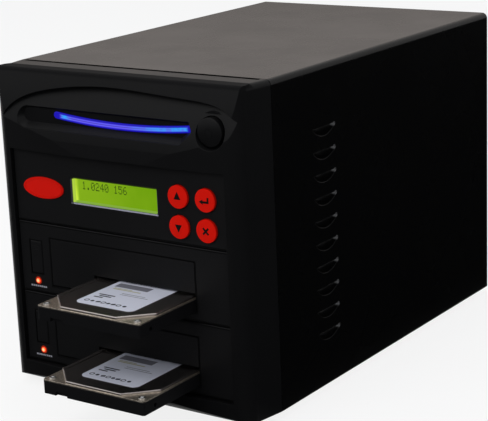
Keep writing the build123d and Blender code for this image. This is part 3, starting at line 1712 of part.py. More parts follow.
def fan_rotor(centre_x, centre_z, back, size):
    """Hub cup, shaft and twisted blades of the fan of this size in front of this depth."""
    share = size / fan_size
    hub = fan_hub * share
    with BuildPart() as rotor:
        with BuildSketch(facing(back - hub_start)):
            with Locations((centre_x, centre_z)):
                Circle(hub)
        extrude(amount=hub_length)
        fillet(rotor.faces().sort_by(Axis.Y)[0].edges(), radius=hub_wall)
        with BuildSketch(facing(back - hub_start)):
            with Locations((centre_x, centre_z)):
                Circle(hub - hub_wall)
        extrude(amount=hub_length - hub_wall, mode=Mode.SUBTRACT)
        with BuildSketch(facing(back - shaft_sink)):
            with Locations((centre_x, centre_z)):
                Circle(fan_shaft)
        extrude(amount=hub_start + hub_length - hub_wall)
        for step in range(fan_blades):
            angle = radians(360 * step / fan_blades)
            outward = Vector(cos(angle), 0, sin(angle))
            centre = Vector(centre_x, deep(back - hub_start - hub_length / 2), centre_z)
            for reach, chord, pitch in (
                (blade_root, blade_root_chord, blade_root_pitch),
                (blade_tip, blade_tip_chord, blade_tip_pitch),
            ):
                section = Plane(origin=centre + outward * reach * share, x_dir=(0, 1, 0), z_dir=outward)
                with BuildSketch(section):
                    Rectangle(chord, blade_thickness, rotation=pitch)
            loft()
    return rotor


rear_fan_frame = fan_frame(rear_fan_x, rear_fan_z, rear_panel_front, fan_size)
finish(rear_fan_frame, "rear_fan_frame")
rear_fan_rotor = fan_rotor(rear_fan_x, rear_fan_z, rear_panel_front, fan_size)
finish(rear_fan_rotor, "rear_fan_rotor")
psu_fan_frame = fan_frame(psu_fan_x, psu_middle, psu_back - psu_sheet, psu_fan_size)
finish(psu_fan_frame, "psu_fan_frame")
psu_fan_rotor = fan_rotor(psu_fan_x, psu_middle, psu_back - psu_sheet, psu_fan_size)
finish(psu_fan_rotor, "psu_fan_rotor")

# Rear screws: cover flanges, power supply and fan
with BuildPart() as rear_screws:
    for level, places in (
        (cover_back, flange_screw_places),
        (rear_panel_back, psu_screw_places),
        (rear_panel_back, fan_screw_places),
    ):
        with BuildSketch(facing(level)):
            with Locations(*places):
                Circle(screw_head)
        extrude(amount=-screw_head_height)
        with BuildSketch(facing(level)):
            with Locations(*places):
                Circle(screw_shank)
        extrude(amount=screw_length)
finish(rear_screws, "rear_screws")

# Cage screws: two for each side of each rack and one for each panel arm
cage_outer = cage_half + plate_sheet
cage_screw_places = [
    (deep(arm_screw_depth), panel_z),
    *[
        (deep(depth), face_bottom(bay) + rack_screw_height)
        for bay in range(bay_count - 1)
        for depth in rack_screw_depths
    ],
]
with BuildPart() as cage_screws:
    with BuildSketch(Plane.YZ.offset(cage_outer)):
        with Locations(*cage_screw_places):
            Circle(screw_head)
    extrude(amount=screw_head_height)
    with BuildSketch(Plane.YZ.offset(cage_outer)):
        with Locations(*cage_screw_places):
            Circle(screw_shank)
    extrude(amount=-screw_length)
    mirror(about=Plane.YZ)
finish(cage_screws, "cage_screws")
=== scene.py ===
"""Looks of a desktop hard drive duplicator, laid out as a Blender add-on."""

import json
import math

import bpy
from mathutils import Matrix, Vector


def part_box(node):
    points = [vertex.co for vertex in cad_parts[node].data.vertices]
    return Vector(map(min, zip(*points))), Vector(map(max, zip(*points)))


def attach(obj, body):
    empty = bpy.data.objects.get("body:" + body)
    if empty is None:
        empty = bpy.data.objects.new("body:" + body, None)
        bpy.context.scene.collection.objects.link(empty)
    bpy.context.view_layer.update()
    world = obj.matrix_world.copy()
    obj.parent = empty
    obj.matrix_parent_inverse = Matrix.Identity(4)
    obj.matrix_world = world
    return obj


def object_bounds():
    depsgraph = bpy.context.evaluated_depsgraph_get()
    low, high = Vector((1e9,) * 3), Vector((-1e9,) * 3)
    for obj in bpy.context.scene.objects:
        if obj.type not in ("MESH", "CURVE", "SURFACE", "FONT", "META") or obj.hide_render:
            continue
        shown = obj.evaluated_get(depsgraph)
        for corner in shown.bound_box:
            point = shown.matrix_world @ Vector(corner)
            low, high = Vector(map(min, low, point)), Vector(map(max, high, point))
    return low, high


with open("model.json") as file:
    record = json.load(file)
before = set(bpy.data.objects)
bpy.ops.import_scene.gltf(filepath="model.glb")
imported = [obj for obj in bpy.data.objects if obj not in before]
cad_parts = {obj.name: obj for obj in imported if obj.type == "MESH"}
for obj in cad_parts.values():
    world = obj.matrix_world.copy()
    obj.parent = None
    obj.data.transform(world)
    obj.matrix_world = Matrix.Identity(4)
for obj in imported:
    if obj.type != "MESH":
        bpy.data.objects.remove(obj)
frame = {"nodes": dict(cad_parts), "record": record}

bl_info = {
    "name": "Hard Drive Duplicator",
    "version": (1, 0, 0),
    "blender": (4, 5, 0),
    "location": "View3D > Sidebar > Duplicator",
    "description": "Finishes and small parts of a desktop hard drive duplicator",
    "category": "Object",
}

MM = 0.001
NODES = frame["nodes"]
CAD_LOW, CAD_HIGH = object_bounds()
RACKS = ("lower", "upper")
RACK_PITCH = 42.5 * MM
RACK_FLOOR = 15.5 * MM
EJECT_MIDDLE = -62.25 * MM
FACING_FRONT = math.pi / 2
# The lowest louvre's height is over the lower rack's floor, its rear tip is behind the racks' front
LOUVRE_LOWEST = 20.5 * MM
LOUVRE_REAR = 88.6 * MM
LOUVRE_PITCH = 13.15 * MM
LOUVRE_TOP = 160.0 * MM
BLACK = (0.0, 0.0, 0.0)
WHITE = (1.0, 1.0, 1.0)
DUST = (0.16, 0.155, 0.15)
# Light grey of the painted highlight on the louvre tips
LOUVRE_GLINT = (0.17, 0.17, 0.17)


# Sizes and colours that a user would change
def length(name, text, value):
    """Length property in metres."""
    return bpy.props.FloatProperty(name=name, description=text, default=value, unit="LENGTH")


def colour(name, text, value):
    """Colour property with a linear red, green and blue."""
    return bpy.props.FloatVectorProperty(
        name=name, description=text, default=value, size=3, min=0.0, max=1.0, subtype="COLOR"
    )


class DuplicatorSizes(bpy.types.PropertyGroup):
    """Sizes of the small parts."""

    dot_width: length("Dot width", "Pitch across of the dots in a display digit", 0.54 * MM)
    dot_height: length("Dot height", "Pitch upwards of the dots in a display digit", 0.66 * MM)
    digit_left: length("Digit left", "Gap from the glass's left edge to the first digit", 5.0 * MM)
    digit_drop: length("Digit drop", "Gap from the glass's top edge to the digits", 0.9 * MM)
    sign_size: length("Key sign", "Width of the sign on a key", 4.4 * MM)
    power_sign: length("Power sign", "Radius of the sign on the power button", 2.7 * MM)
    ink_lift: length("Ink lift", "Thickness of printed ink", 0.04 * MM)
    dash_drop: length("Dash drop", "Gap from the lamp's middle to the dashes", 3.4 * MM)
    collar_band: length("Lamp collar", "Width of the red collar round a rack lamp", 0.8 * MM)
    rib_height: length("Eject ribs", "Height of a grip rib on the eject buttons", 0.4 * MM)
    rim_width: length("Badge rim", "Width of the raised rim of the badge", 0.8 * MM)


class DuplicatorFinishes(bpy.types.PropertyGroup):
    """Colours of the finishes."""

    coat: colour("Cabinet coat", "Black powder coat of the steel cabinet", (0.0019, 0.0019, 0.0020))
    bezel: colour("Front moulding", "Moulded black plastic of the front", (0.0042, 0.0042, 0.0045))
    face: colour("Rack faces", "Moulded black plastic of the racks and the panel", (0.0048, 0.0048, 0.0052))
    key: colour("Keys", "Red plastic of the keys", (0.60, 0.005, 0.0005))
    badge: colour("Badge", "Red plastic of the bare badge", (0.60, 0.005, 0.001))
    sign: colour("Key signs", "Black ink of the signs on the keys", (0.004, 0.003, 0.003))
    core_glow: colour("Light bar", "Light along the middle of the bar", (0.13, 0.11, 0.95))
    edge_glow: colour("Bar edges", "Deeper light at the bar's edges and tips", (0.006, 0.001, 0.42))
    end_glow: colour("Bar ends", "Paler light where the chips shine into the bar", (0.012, 0.42, 1.0))
    screen: colour("Display", "Backlight of the display", (0.155, 0.345, 0.003))
    screen_edge: colour("Display edge", "Brighter backlight along the left edge", (0.62, 0.86, 0.05))
    ink: colour("Display ink", "Dark digits on the display", (0.035, 0.085, 0.003))
    lining: colour("Display lining", "Pale lining of the display window", (0.36, 0.36, 0.44))
    lamp: colour("Lamps", "Amber light at the middle of a rack lamp", (1.0, 0.52, 0.22))
    lamp_edge: colour("Lamp edges", "Red light at the edge of a rack lamp", (0.80, 0.035, 0.004))
    label: colour("Labels", "Paper of the drive labels", (0.66, 0.68, 0.78))
    print_dark: colour("Label print", "Dark ink of the labels", (0.012, 0.013, 0.02))
    print_band: colour("Label band", "Grey band and thin rows on the labels", (0.17, 0.17, 0.20))
    print_line: colour("Label line", "Yellowish row on the labels", (0.42, 0.40, 0.22))
    lid: colour("Drive lids", "Bright steel of the drive lids", (0.34, 0.31, 0.30))
    casting: colour("Drive castings", "Black coat of the drive castings", (0.0045, 0.0045, 0.005))
    zinc: colour("Zinc steel", "Galvanised sheet inside the cabinet", (0.42, 0.44, 0.46))
    board: colour("Circuit boards", "Green lacquer of the circuit boards", (0.012, 0.09, 0.035))
    caption: colour("Pale ink", "Pale ink of the dashes and the switch signs", (0.26, 0.26, 0.29))


def sizes():
    """The sizes held by the scene."""
    return bpy.context.scene.duplicator_sizes


def finishes():
    """The colours held by the scene."""
    return bpy.context.scene.duplicator_finishes


# Shader nodes
def feed(node, inputs):
    """Fill inputs of a node, by label or number, each from a socket, a number or a colour."""
    for label, value in inputs.items():
        socket = node.inputs[label]
        if isinstance(value, bpy.types.NodeSocket):
            node.id_data.links.new(value, socket)
        elif socket.type == "RGBA":
            socket.default_value = (*value, 1.0)
        else:
            socket.default_value = value


def add_node(tree, kind, inputs=None, **settings):
    """New node with its settings and its inputs."""
    node = tree.nodes.new(kind)
    for name, value in settings.items():
        setattr(node, name, value)
    feed(node, inputs or {})
    return node


def maths(operation, first, *others, clamp=False):
    """Math nodes that work through values from the left; at least one is a socket."""
    sockets = [value for value in (first, *others) if isinstance(value, bpy.types.NodeSocket)]
    tree = sockets[0].id_data
    for second in others or (0.0,):
        inputs = {0: first, 1: second}
        node = add_node(tree, "ShaderNodeMath", inputs, operation=operation, use_clamp=clamp)
        first = node.outputs[0]
    return first


def times(*values):
    """Product of values."""
    return maths("MULTIPLY", *values)


def minus(first, second):
    """Difference of two values."""
    return maths("SUBTRACT", first, second)


def highest(*values):
    """Highest of some values."""
    return maths("MAXIMUM", *values)


def distance(first, second):
    """Distance from a point, from two offsets at right angles."""
    return maths("SQRT", maths("ADD", times(first, first), times(second, second)))


def own_place(tree):
    """The object's own coordinates."""
    return add_node(tree, "ShaderNodeTexCoord").outputs["Object"]


def along(tree, axis):
    """One of the object's own coordinates."""
    return add_node(tree, "ShaderNodeSeparateXYZ", {0: own_place(tree)}).outputs[axis]


def above_step(tree, start, pitch):
    """Height above the step just below, in a pattern that repeats upwards from a start."""
    return maths("MODULO", minus(along(tree, "Z"), start), pitch)


def noise(tree, scale, detail=2.0, stretch=(1.0, 1.0, 1.0), roughness=0.5):
    """Noise on the object's own coordinates; scale is a number or a socket."""
    mapping = add_node(tree, "ShaderNodeMapping", {"Vector": own_place(tree), "Scale": stretch})
    vector = mapping.outputs["Vector"]
    inputs = {"Vector": vector, "Scale": scale, "Detail": detail, "Roughness": roughness}
    return add_node(tree, "ShaderNodeTexNoise", inputs).outputs["Fac"]


def spread(value, low, high, start=0.0, end=1.0):
    """Map Range node from low..high to start..end, clamped."""
    inputs = {"Value": value, "From Min": low, "From Max": high, "To Min": start, "To Max": end}
    return add_node(value.id_data, "ShaderNodeMapRange", inputs).outputs["Result"]


def ramp(tree, axis, low, high, start=0.0, end=1.0):
    """Value that goes from start to end between two places on an axis."""
    return spread(along(tree, axis), low, high, start, end)


def blend_colours(mask, first, second):
    """Colour that goes from the first to the second with a mask; each is a socket or a colour."""
    inputs = {"Factor": mask, 6: first, 7: second}
    return add_node(mask.id_data, "ShaderNodeMix", inputs, data_type="RGBA").outputs[2]


def scaled(tone, factor):
    """A colour times a number, at most 1."""
    return tuple(min(1.0, part * factor) for part in tone)


def shades(mask, tone, low, high):
    """Colour that goes between two multiples of a tone with a mask."""
    return blend_colours(mask, scaled(tone, low), scaled(tone, high))


def add_bump(shader, height, depth, strength=1.0, rounded=None):
    """Bump from a height into the shader's normal, over softened edges if given."""
    inputs = {"Distance": depth, "Strength": strength, "Height": height}
    if rounded is not None:
        inputs["Normal"] = rounded
    bump = add_node(shader.id_data, "ShaderNodeBump", inputs)
    feed(shader, {"Normal": bump.outputs["Normal"]})


# Node groups, each built once and placed in the materials that need it
def group_shell(name, inputs, outputs):
    """New node group with float inputs and the named outputs."""
    tree = bpy.data.node_groups.new(name, "ShaderNodeTree")
    for label, value in inputs:
        socket = tree.interface.new_socket(name=label, in_out="INPUT", socket_type="NodeSocketFloat")
        socket.default_value = value
    for label, kind in outputs:
        tree.interface.new_socket(name=label, in_out="OUTPUT", socket_type=f"NodeSocket{kind}")
    return tree, tree.nodes.new("NodeGroupInput"), tree.nodes.new("NodeGroupOutput")


def make_grain():
    """Moulded or coated grain: a height, and a slow mottle of the roughness."""
    tree, entry, end = group_shell(
        "surface_grain",
        [("Scale", 2600.0), ("Roughness", 0.5), ("Mottle", 0.08)],
        [("Height", "Float"), ("Roughness", "Float")],
    )
    centred = minus(noise(tree, 28.0, 3.0), 0.5)
    swing = times(centred, entry.outputs["Mottle"], 2.0)
    mottled = maths("ADD", entry.outputs["Roughness"], swing, clamp=True)
    feed(end, {"Height": noise(tree, entry.outputs["Scale"], 3.0), "Roughness": mottled})
    return tree


def make_wear_and_sheen():
    """Edge wear and painted edge highlight: the normal of softened edges, and a mask that is 1 on them,
    broken by noise, which lightens them both as wear and as painted sheen.
    """
    tree, entry, end = group_shell(
        "edge_wear_and_sheen",
        [("Amount", 0.5), ("Radius", 0.35 * MM)],
        [("Mask", "Float"), ("Normal", "Vector")],
    )
    bevel = add_node(tree, "ShaderNodeBevel", {"Radius": entry.outputs["Radius"]}, samples=4)
    rounded = bevel.outputs["Normal"]
    flat = add_node(tree, "ShaderNodeNewGeometry").outputs["Normal"]
    dot = add_node(tree, "ShaderNodeVectorMath", {0: rounded, 1: flat}, operation="DOT_PRODUCT")
    edge = spread(minus(1.0, dot.outputs["Value"]), 0.01, 0.12)
    worn_and_lit = times(edge, spread(noise(tree, 160.0, 4.0), 0.38, 0.62))
    mask = maths("MULTIPLY", worn_and_lit, entry.outputs["Amount"], clamp=True)
    feed(end, {"Mask": mask, "Normal": rounded})
    return tree


def make_dust():
    """Fine dust: a mask that is strongest on faces that look upwards."""
    tree, entry, end = group_shell("settled_dust", [("Amount", 0.3)], [("Mask", "Float")])
    facing = add_node(tree, "ShaderNodeNewGeometry").outputs["Normal"]
    upward = spread(add_node(tree, "ShaderNodeSeparateXYZ", {0: facing}).outputs["Z"], 0.2, 1.0)
    specks = spread(noise(tree, 700.0, 4.0, roughness=0.7), 0.52, 0.75)
    clouds = spread(noise(tree, 14.0), 0.3, 0.7, 0.3, 1.0)
    dusty = times(specks, clouds, upward)
    feed(end, {"Mask": maths("MULTIPLY", dusty, entry.outputs["Amount"], clamp=True)})
    return tree


def make_spangle():
    """Crystal pattern of galvanised sheet: a value from 0 to 1 for each crystal."""
    tree, entry, end = group_shell("zinc_spangle", [("Scale", 160.0)], [("Value", "Float")])
    inputs = {"Vector": own_place(tree), "Scale": entry.outputs["Scale"]}
    cells = add_node(tree, "ShaderNodeTexVoronoi", inputs).outputs["Color"]
    feed(end, {"Value": add_node(tree, "ShaderNodeSeparateColor", {0: cells}).outputs["Red"]})
    return tree


GROUPS = {}


def use_group(tree, maker, **values):
    """Place a shared group in a material, with its own values; its maker runs on first use."""
    if maker not in GROUPS:
        GROUPS[maker] = maker()
    return add_node(tree, "ShaderNodeGroup", values, node_tree=GROUPS[maker])


# Materials
def new_material(name):
    """New material, its node tree and its Principled shader."""
    material = bpy.data.materials.new(name)
    material.use_nodes = True
    tree = material.node_tree
    return material, tree, tree.nodes["Principled BSDF"]


def feeding(material, label):
    """Tree and shader of a material, and the socket that feeds one of the shader's inputs."""
    tree = material.node_tree
    shader = tree.nodes["Principled BSDF"]
    return tree, shader, shader.inputs[label].links[0].from_socket


def grained(name, tone, roughness, specular, grain, depth, wear_and_sheen=0.25, dust=0.15, soft=0.35 * MM):
    """Coated or moulded finish with grain, worn edges that are also lightened as a painted highlight, and a
    little dust.
    """
    material, tree, shader = new_material(name)
    skin = use_group(tree, make_grain, Scale=grain, Roughness=roughness, Mottle=0.06)
    edges = use_group(tree, make_wear_and_sheen, Amount=wear_and_sheen, Radius=soft)
    film = use_group(tree, make_dust, Amount=dust)
    # Edges lighter where worn, and also as a painted highlight along them
    bared_and_lit = tuple(min(1.0, part * 4.0 + 0.008) for part in tone)
    worn_and_lit = blend_colours(edges.outputs["Mask"], tone, bared_and_lit)
    feed(shader, {
        "Base Color": blend_colours(film.outputs["Mask"], worn_and_lit, DUST),
        "Roughness": skin.outputs["Roughness"],
        "Specular IOR Level": specular,
    })
    add_bump(shader, skin.outputs["Height"], depth, 1.0, edges.outputs["Normal"])
    return material


def cabinet_material():
    """Black coat of the cabinet, with a painted highlight, a light grey spot, at the rear tip of each
    louvre.
    """
    coat = finishes().coat
    material = grained("black_steel", coat, 0.27, 0.08, 2400.0, 0.006 * MM, 0.25, 0.01, 0.7 * MM)
    tree, shader, plain = feeding(material, "Base Color")
    # Painted highlight: a light grey spot on the rear tip of each louvre, where the pressed end would catch
    # the light
    tip_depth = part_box("lower_rack_face")[0].y + LOUVRE_REAR - 1.6 * MM
    tip_height = RACK_FLOOR + LOUVRE_LOWEST - 0.7 * MM
    lowest = tip_height - LOUVRE_PITCH / 2
    above = minus(above_step(tree, lowest, LOUVRE_PITCH), LOUVRE_PITCH / 2)
    behind = minus(along(tree, "Y"), tip_depth)
    glint_spot = spread(distance(above, behind), 0.4 * MM, 1.5 * MM, 1.0, 0.0)
    below_top = ramp(tree, "Z", LOUVRE_TOP, LOUVRE_TOP + 1.0 * MM, 1.0, 0.0)
    above_base = ramp(tree, "Z", lowest, lowest + 1.0 * MM)
    mask = times(below_top, above_base, glint_spot)
    feed(shader, {"Base Color": blend_colours(mask, plain, LOUVRE_GLINT)})
    return material


def bezel_material():
    """Plastic of the front moulding, matt along the front edge of its top."""
    material = grained("bezel_plastic", finishes().bezel, 0.42, 0.08, 3000.0, 0.012 * MM, 0.2, 0.01)
    tree, shader, plain = feeding(material, "Roughness")
    band_back = -102.6 * MM
    ahead = ramp(tree, "Y", band_back - 0.4 * MM, band_back, 1.0, 0.0)
    on_top = ramp(tree, "Z", CAD_HIGH.z - 4.0 * MM, CAD_HIGH.z - 1.5 * MM, 0.0, 0.9)
    feed(shader, {"Roughness": highest(plain, times(ahead, on_top))})
    return material


def metal(name, tone, roughness, streak=None, spangle=None):
    """Bare metal with zinc crystals of a scale, or brushed streaks in a direction."""
    material, tree, shader = new_material(name)
    skin = use_group(tree, make_grain, Scale=900.0, Roughness=roughness, Mottle=0.10)
    edges = use_group(tree, make_wear_and_sheen, Amount=0.5)
    if spangle:
        height = use_group(tree, make_spangle, Scale=spangle).outputs["Value"]
        mixed = shades(height, tone, 0.88, 1.1)
    else:
        height = noise(tree, 60.0, 4.0, streak)
        mixed = shades(spread(height, 0.3, 0.7), tone, 0.82, 1.12)
    feed(shader, {"Base Color": mixed, "Metallic": 1.0, "Roughness": skin.outputs["Roughness"]})
    add_bump(shader, height, 0.008 * MM, 0.5, edges.outputs["Normal"])
    return material


def lit(name, tone, strength, base, roughness=0.35, specular=0.1):
    """Lit finish: the colour socket made by tone, and a dark base under it."""
    material, tree, shader = new_material(name)
    feed(shader, {
        "Emission Color": tone(tree),
        "Emission Strength": strength,
        "Base Color": shades(noise(tree, 1500.0), base, 0.85, 1.15),
        "Roughness": roughness,
        "Specular IOR Level": specular,
    })
    return material


def light_bar_material():
    """Blue acrylic bar: pale core with a darker middle line, deep blue edges and tips, cyan by the chips."""
    low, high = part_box("light_pipe")
    flange = 1.5 * MM
    sag = 2.75 * MM
    half_bar = 2.0 * MM
    left = low.x + flange
    right = high.x - flange
    middle = (left + right) / 2
    half = (right - left) / 2 - half_bar
    end_height = high.z - flange - half_bar
    tones = finishes()

    def tone(tree):
        share_along = maths("DIVIDE", minus(along(tree, "X"), middle), half)
        bow = minus(1.0, times(share_along, share_along))
        centre = minus(end_height, times(bow, sag))
        off = maths("ABSOLUTE", minus(along(tree, "Z"), centre))
        core_line = spread(off, 0.1 * MM, 0.45 * MM, 1.0, 0.0)
        core = blend_colours(core_line, tones.core_glow, scaled(tones.core_glow, 0.5))
        into_left = ramp(tree, "X", left + 5.0 * MM, left + 7.0 * MM)
        out_of_left = ramp(tree, "X", left + 8.5 * MM, left + 13.0 * MM, 1.0, 0.0)
        into_right = ramp(tree, "X", right - 44.0 * MM, right - 10.0 * MM)
        chips = highest(times(into_left, out_of_left), into_right)
        patchy = spread(noise(tree, 260.0), 0.35, 0.6, 0.35, 1.0)
        lighter = blend_colours(times(chips, patchy), core, tones.end_glow)
        across = spread(off, 0.6 * MM, 1.3 * MM)
        tip_left = ramp(tree, "X", left + 4.0 * MM, left + 6.0 * MM, 1.0, 0.0)
        tip_right = ramp(tree, "X", right - 4.2 * MM, right - 2.6 * MM)
        return blend_colours(highest(across, tip_left, tip_right), lighter, tones.edge_glow)

    return lit("light_bar", tone, 1.0, (0.01, 0.01, 0.05), 0.3)


def lamp_material():
    """Amber lamp, nearly white at its middle and red at its edge."""
    low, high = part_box("lower_lamp_lens")
    across_middle = (low.x + high.x) / 2
    height_middle = (low.z + high.z) / 2 - RACK_FLOOR
    tones = finishes()

    def tone(tree):
        across = minus(along(tree, "X"), across_middle)
        upward = minus(above_step(tree, RACK_FLOOR, RACK_PITCH), height_middle)
        edge = spread(distance(across, upward), 0.5 * MM, 1.4 * MM)
        return blend_colours(edge, tones.lamp, tones.lamp_edge)

    return lit("lamp_amber", tone, 1.5, (0.2, 0.02, 0.01))


def collar_material():
    """Clear red collar with a painted glow of the lamp's light."""
    red = finishes().lamp_edge

    def tone(tree):
        return shades(noise(tree, 700.0), red, 0.2, 0.5)

    return lit("lamp_collar", tone, 1.0, (0.05, 0.003, 0.002))


def display_material():
    """Backlit display, brighter along its left edge and towards its lower left corner."""
    low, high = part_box("display_glass")
    tones = finishes()

    def tone(tree):
        left = ramp(tree, "X", low.x + 0.5 * MM, low.x + 2.6 * MM, 1.0, 0.0)
        lower = ramp(tree, "Z", low.z, low.z + 9.0 * MM, 1.0, 0.5)
        slope = ramp(tree, "X", low.x, high.x, 0.16, 0.0)
        cloud = spread(noise(tree, 60.0), 0.4, 0.7, 0.0, 0.06)
        mask = maths("ADD", times(left, lower), slope, cloud, clamp=True)
        return blend_colours(mask, tones.screen, tones.screen_edge)

    return lit("display_green", tone, 0.95, (0.004, 0.01, 0.001), 0.2, 0.15)


def lining_material():
    """Pale lining of the display window: painted shade darkens it along its top, above a line just under the
    glass and left of the glass, and a painted green glow of the display lights it beside the glass.
    """
    low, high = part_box("display_glass")
    spill = 1.0 * MM
    left = low.x - spill
    bottom = low.z - spill
    tones = finishes()
    material, tree, shader = new_material("display_lining")
    skin = use_group(tree, make_grain, Scale=1800.0, Roughness=0.45, Mottle=0.06)
    # Painted shade: dark masks along the top, above the bottom edge and left of the glass
    shade = ramp(tree, "Z", high.z - 0.2 * MM, high.z + 0.2 * MM)
    below = ramp(tree, "Z", bottom - 0.15 * MM, bottom)
    fade = ramp(tree, "X", left - 1.2 * MM, left, 0.2, 0.8)
    left_side = ramp(tree, "X", low.x - 0.2 * MM, low.x, 1.0, 0.0)
    dark = highest(shade, times(below, 0.9), times(fade, left_side))
    # Painted glow of the display's light on the lining beside the glass
    near_bottom = ramp(tree, "Z", bottom, bottom + 0.2 * MM)
    near_left = ramp(tree, "X", left, left + 0.3 * MM)
    near_right = ramp(tree, "X", high.x, high.x + 0.4 * MM, 1.0, 0.0)
    under_top = ramp(tree, "Z", high.z, high.z + 0.3 * MM, 1.0, 0.0)
    lit_part = times(near_bottom, near_left, near_right, under_top)
    yellow = ramp(tree, "X", left, low.x + 1.5 * MM, 0.8, 0.1)
    light = blend_colours(yellow, tones.screen, tones.screen_edge)
    feed(shader, {
        "Base Color": blend_colours(dark, tones.lining, scaled(tones.lining, 0.02)),
        "Emission Color": blend_colours(lit_part, BLACK, light),
        "Emission Strength": 0.9,
        "Roughness": skin.outputs["Roughness"],
        "Specular IOR Level": 0.2,
    })
    add_bump(shader, skin.outputs["Height"], 0.008 * MM)
    return material


def label_material():
    """Slightly glossy paper label with a fine fibre."""
    paper = finishes().label
    material, tree, shader = new_material("label_white")
    fibre = noise(tree, 1800.0, 3.0)
    tint = shades(fibre, paper, 0.94, 1.05)
    feed(shader, {"Base Color": tint, "Roughness": 0.45, "Specular IOR Level": 0.3})
    add_bump(shader, fibre, 0.01 * MM, 0.3)
    return material


def board_material():
    """Green lacquered board with copper runs under the lacquer."""
    green = finishes().board
    material, tree, shader = new_material("circuit_board")
    inputs = {"Vector": own_place(tree), "Scale": 220.0, "Mortar Size": 0.03}
    gaps = add_node(tree, "ShaderNodeTexBrick", inputs).outputs["Fac"]
    mixed = blend_colours(minus(1.0, gaps), scaled(green, 1.9), green)
    speckled = blend_colours(noise(tree, 500.0), mixed, scaled(green, 0.8))
    feed(shader, {"Base Color": speckled, "Roughness": 0.35})
    add_bump(shader, gaps, 0.02 * MM, 0.4)
    return material


def lid_material():
    """Drive lid: dark polished raised part, and a paler speckled deck below it."""
    steel = finishes().lid
    dark_speck = (0.34, 0.30, 0.25)
    pale_speck = (0.58, 0.52, 0.44)
    deck_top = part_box("lower_drive_cover")[0].z - RACK_FLOOR + 0.95 * MM
    material, tree, shader = new_material("drive_steel")
    raised = spread(above_step(tree, RACK_FLOOR, RACK_PITCH), deck_top, deck_top + 0.1 * MM)
    lines = noise(tree, 60.0, 4.0, (9.0, 1.0, 9.0))
    polished = shades(lines, steel, 0.85, 1.1)
    specks = spread(noise(tree, 900.0, 3.0, roughness=0.7), 0.42, 0.62)
    deck = blend_colours(specks, dark_speck, pale_speck)
    feed(shader, {
        "Base Color": blend_colours(raised, deck, polished),
        "Metallic": 1.0,
        "Roughness": spread(raised, 0.0, 1.0, 0.40, 0.27),
    })
    edges = use_group(tree, make_wear_and_sheen, Amount=0.5)
    add_bump(shader, lines, 0.004 * MM, 0.4, edges.outputs["Normal"])
    return material


def ink_material(name, tone):
    """Printed ink with a slight unevenness."""
    material, tree, shader = new_material(name)
    mixed = shades(noise(tree, 900.0), tone, 0.8, 1.2)
    feed(shader, {"Base Color": mixed, "Roughness": 0.5, "Specular IOR Level": 0.1})
    return material


def make_materials():
    """Every finish of the object, by the name of its material slot."""
    tones = finishes()
    # Colour, roughness, specular level, scale and depth of the grain, edge wear with its painted edge
    # highlight, dust
    coats = {
        "rubber": ((0.012, 0.012, 0.012), 0.8, 0.25, 1500.0, 0.05 * MM, 0.1, 0.4),
        "face_plastic": (tones.face, 0.5, 0.11, 3600.0, 0.015 * MM, 0.2, 0.01),
        "dark_plastic": ((0.008, 0.008, 0.0085), 0.5, 0.3, 2800.0, 0.02 * MM),
        "badge_red": (tones.badge, 0.55, 0.05, 1400.0, 0.008 * MM, 0.0, 0.01),
        "key_red": (tones.key, 0.55, 0.05, 1400.0, 0.008 * MM, 0.0, 0.01),
        "drive_black": (tones.casting, 0.55, 0.07, 1700.0, 0.03 * MM, 0.2, 0.01),
        # Flat black of the painted shadow strips and lines
        "shadow_black": ((0.004, 0.004, 0.004), 0.9, 0.0, 1500.0, 0.01 * MM, 0.0, 0.0),
    }
    inks = {
        "display_ink": tones.ink,
        "key_ink": tones.sign,
        "print_dark": tones.print_dark,
        "print_band": tones.print_band,
        "print_line": tones.print_line,
        "pale_ink": tones.caption,
    }
    return {
        "black_steel": cabinet_material(),
        "zinc_steel": metal("zinc_steel", tones.zinc, 0.38, spangle=230.0),
        "pin_steel": metal("pin_steel", (0.5, 0.5, 0.5), 0.28, streak=(1.0, 9.0, 9.0)),
        "bezel_plastic": bezel_material(),
        "light_bar": light_bar_material(),
        "circuit_board": board_material(),
        "display_lining": lining_material(),
        "display_green": display_material(),
        "lamp_amber": lamp_material(),
        "lamp_collar": collar_material(),
        "drive_steel": lid_material(),
        "label_white": label_material(),
        **{name: grained(name, *values) for name, values in coats.items()},
        **{name: ink_material(name, tone) for name, tone in inks.items()},
    }


MATERIALS = {}


def finish_of(name):
    """A finish by its slot name; all are made on first use."""
    if not MATERIALS:
        MATERIALS.update(make_materials())
    return MATERIALS[name]


def node_slots():
    """Material slot of every CAD node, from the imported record."""
    return {row["node"]: row["material_slot"] for row in frame["record"]["subparts"]}


# Modelling steps that the operators share
def start_edit(action="SELECT"):
    """Enter edit mode with everything selected, or with nothing."""
    bpy.ops.object.mode_set(mode="EDIT")
    bpy.ops.mesh.select_all(action=action)


def end_edit():
    """Leave edit mode."""
    bpy.ops.object.mode_set(mode="OBJECT")


def clear_selection():
    """Leave edit mode and select nothing."""
    if bpy.context.mode != "OBJECT":
        end_edit()
    bpy.ops.object.select_all(action="DESELECT")


def take(*pieces):
    """Select these pieces alone, the first of them active."""
    clear_selection()
    for piece in pieces:
        piece.select_set(True)
    bpy.context.view_layer.objects.active = pieces[0]


def apply_modifiers(piece):
    """Apply every modifier of a piece in order."""
    take(piece)
    for modifier in list(piece.modifiers):
        bpy.ops.object.modifier_apply(modifier=modifier.name)


def apply_place():
    """Put the place, turn and scale of what is selected in its mesh."""
    bpy.ops.object.transform_apply(location=True, rotation=True, scale=True)


def merge(pieces):
    """Join pieces into the first of them."""
    take(*pieces)
    bpy.ops.object.join()
    return pieces[0]


def stretched(width, height):
    """The active flat piece, stretched, with its place in its mesh."""
    piece = bpy.context.active_object
    piece.scale = (width, height, 1.0)
    apply_place()
    return piece


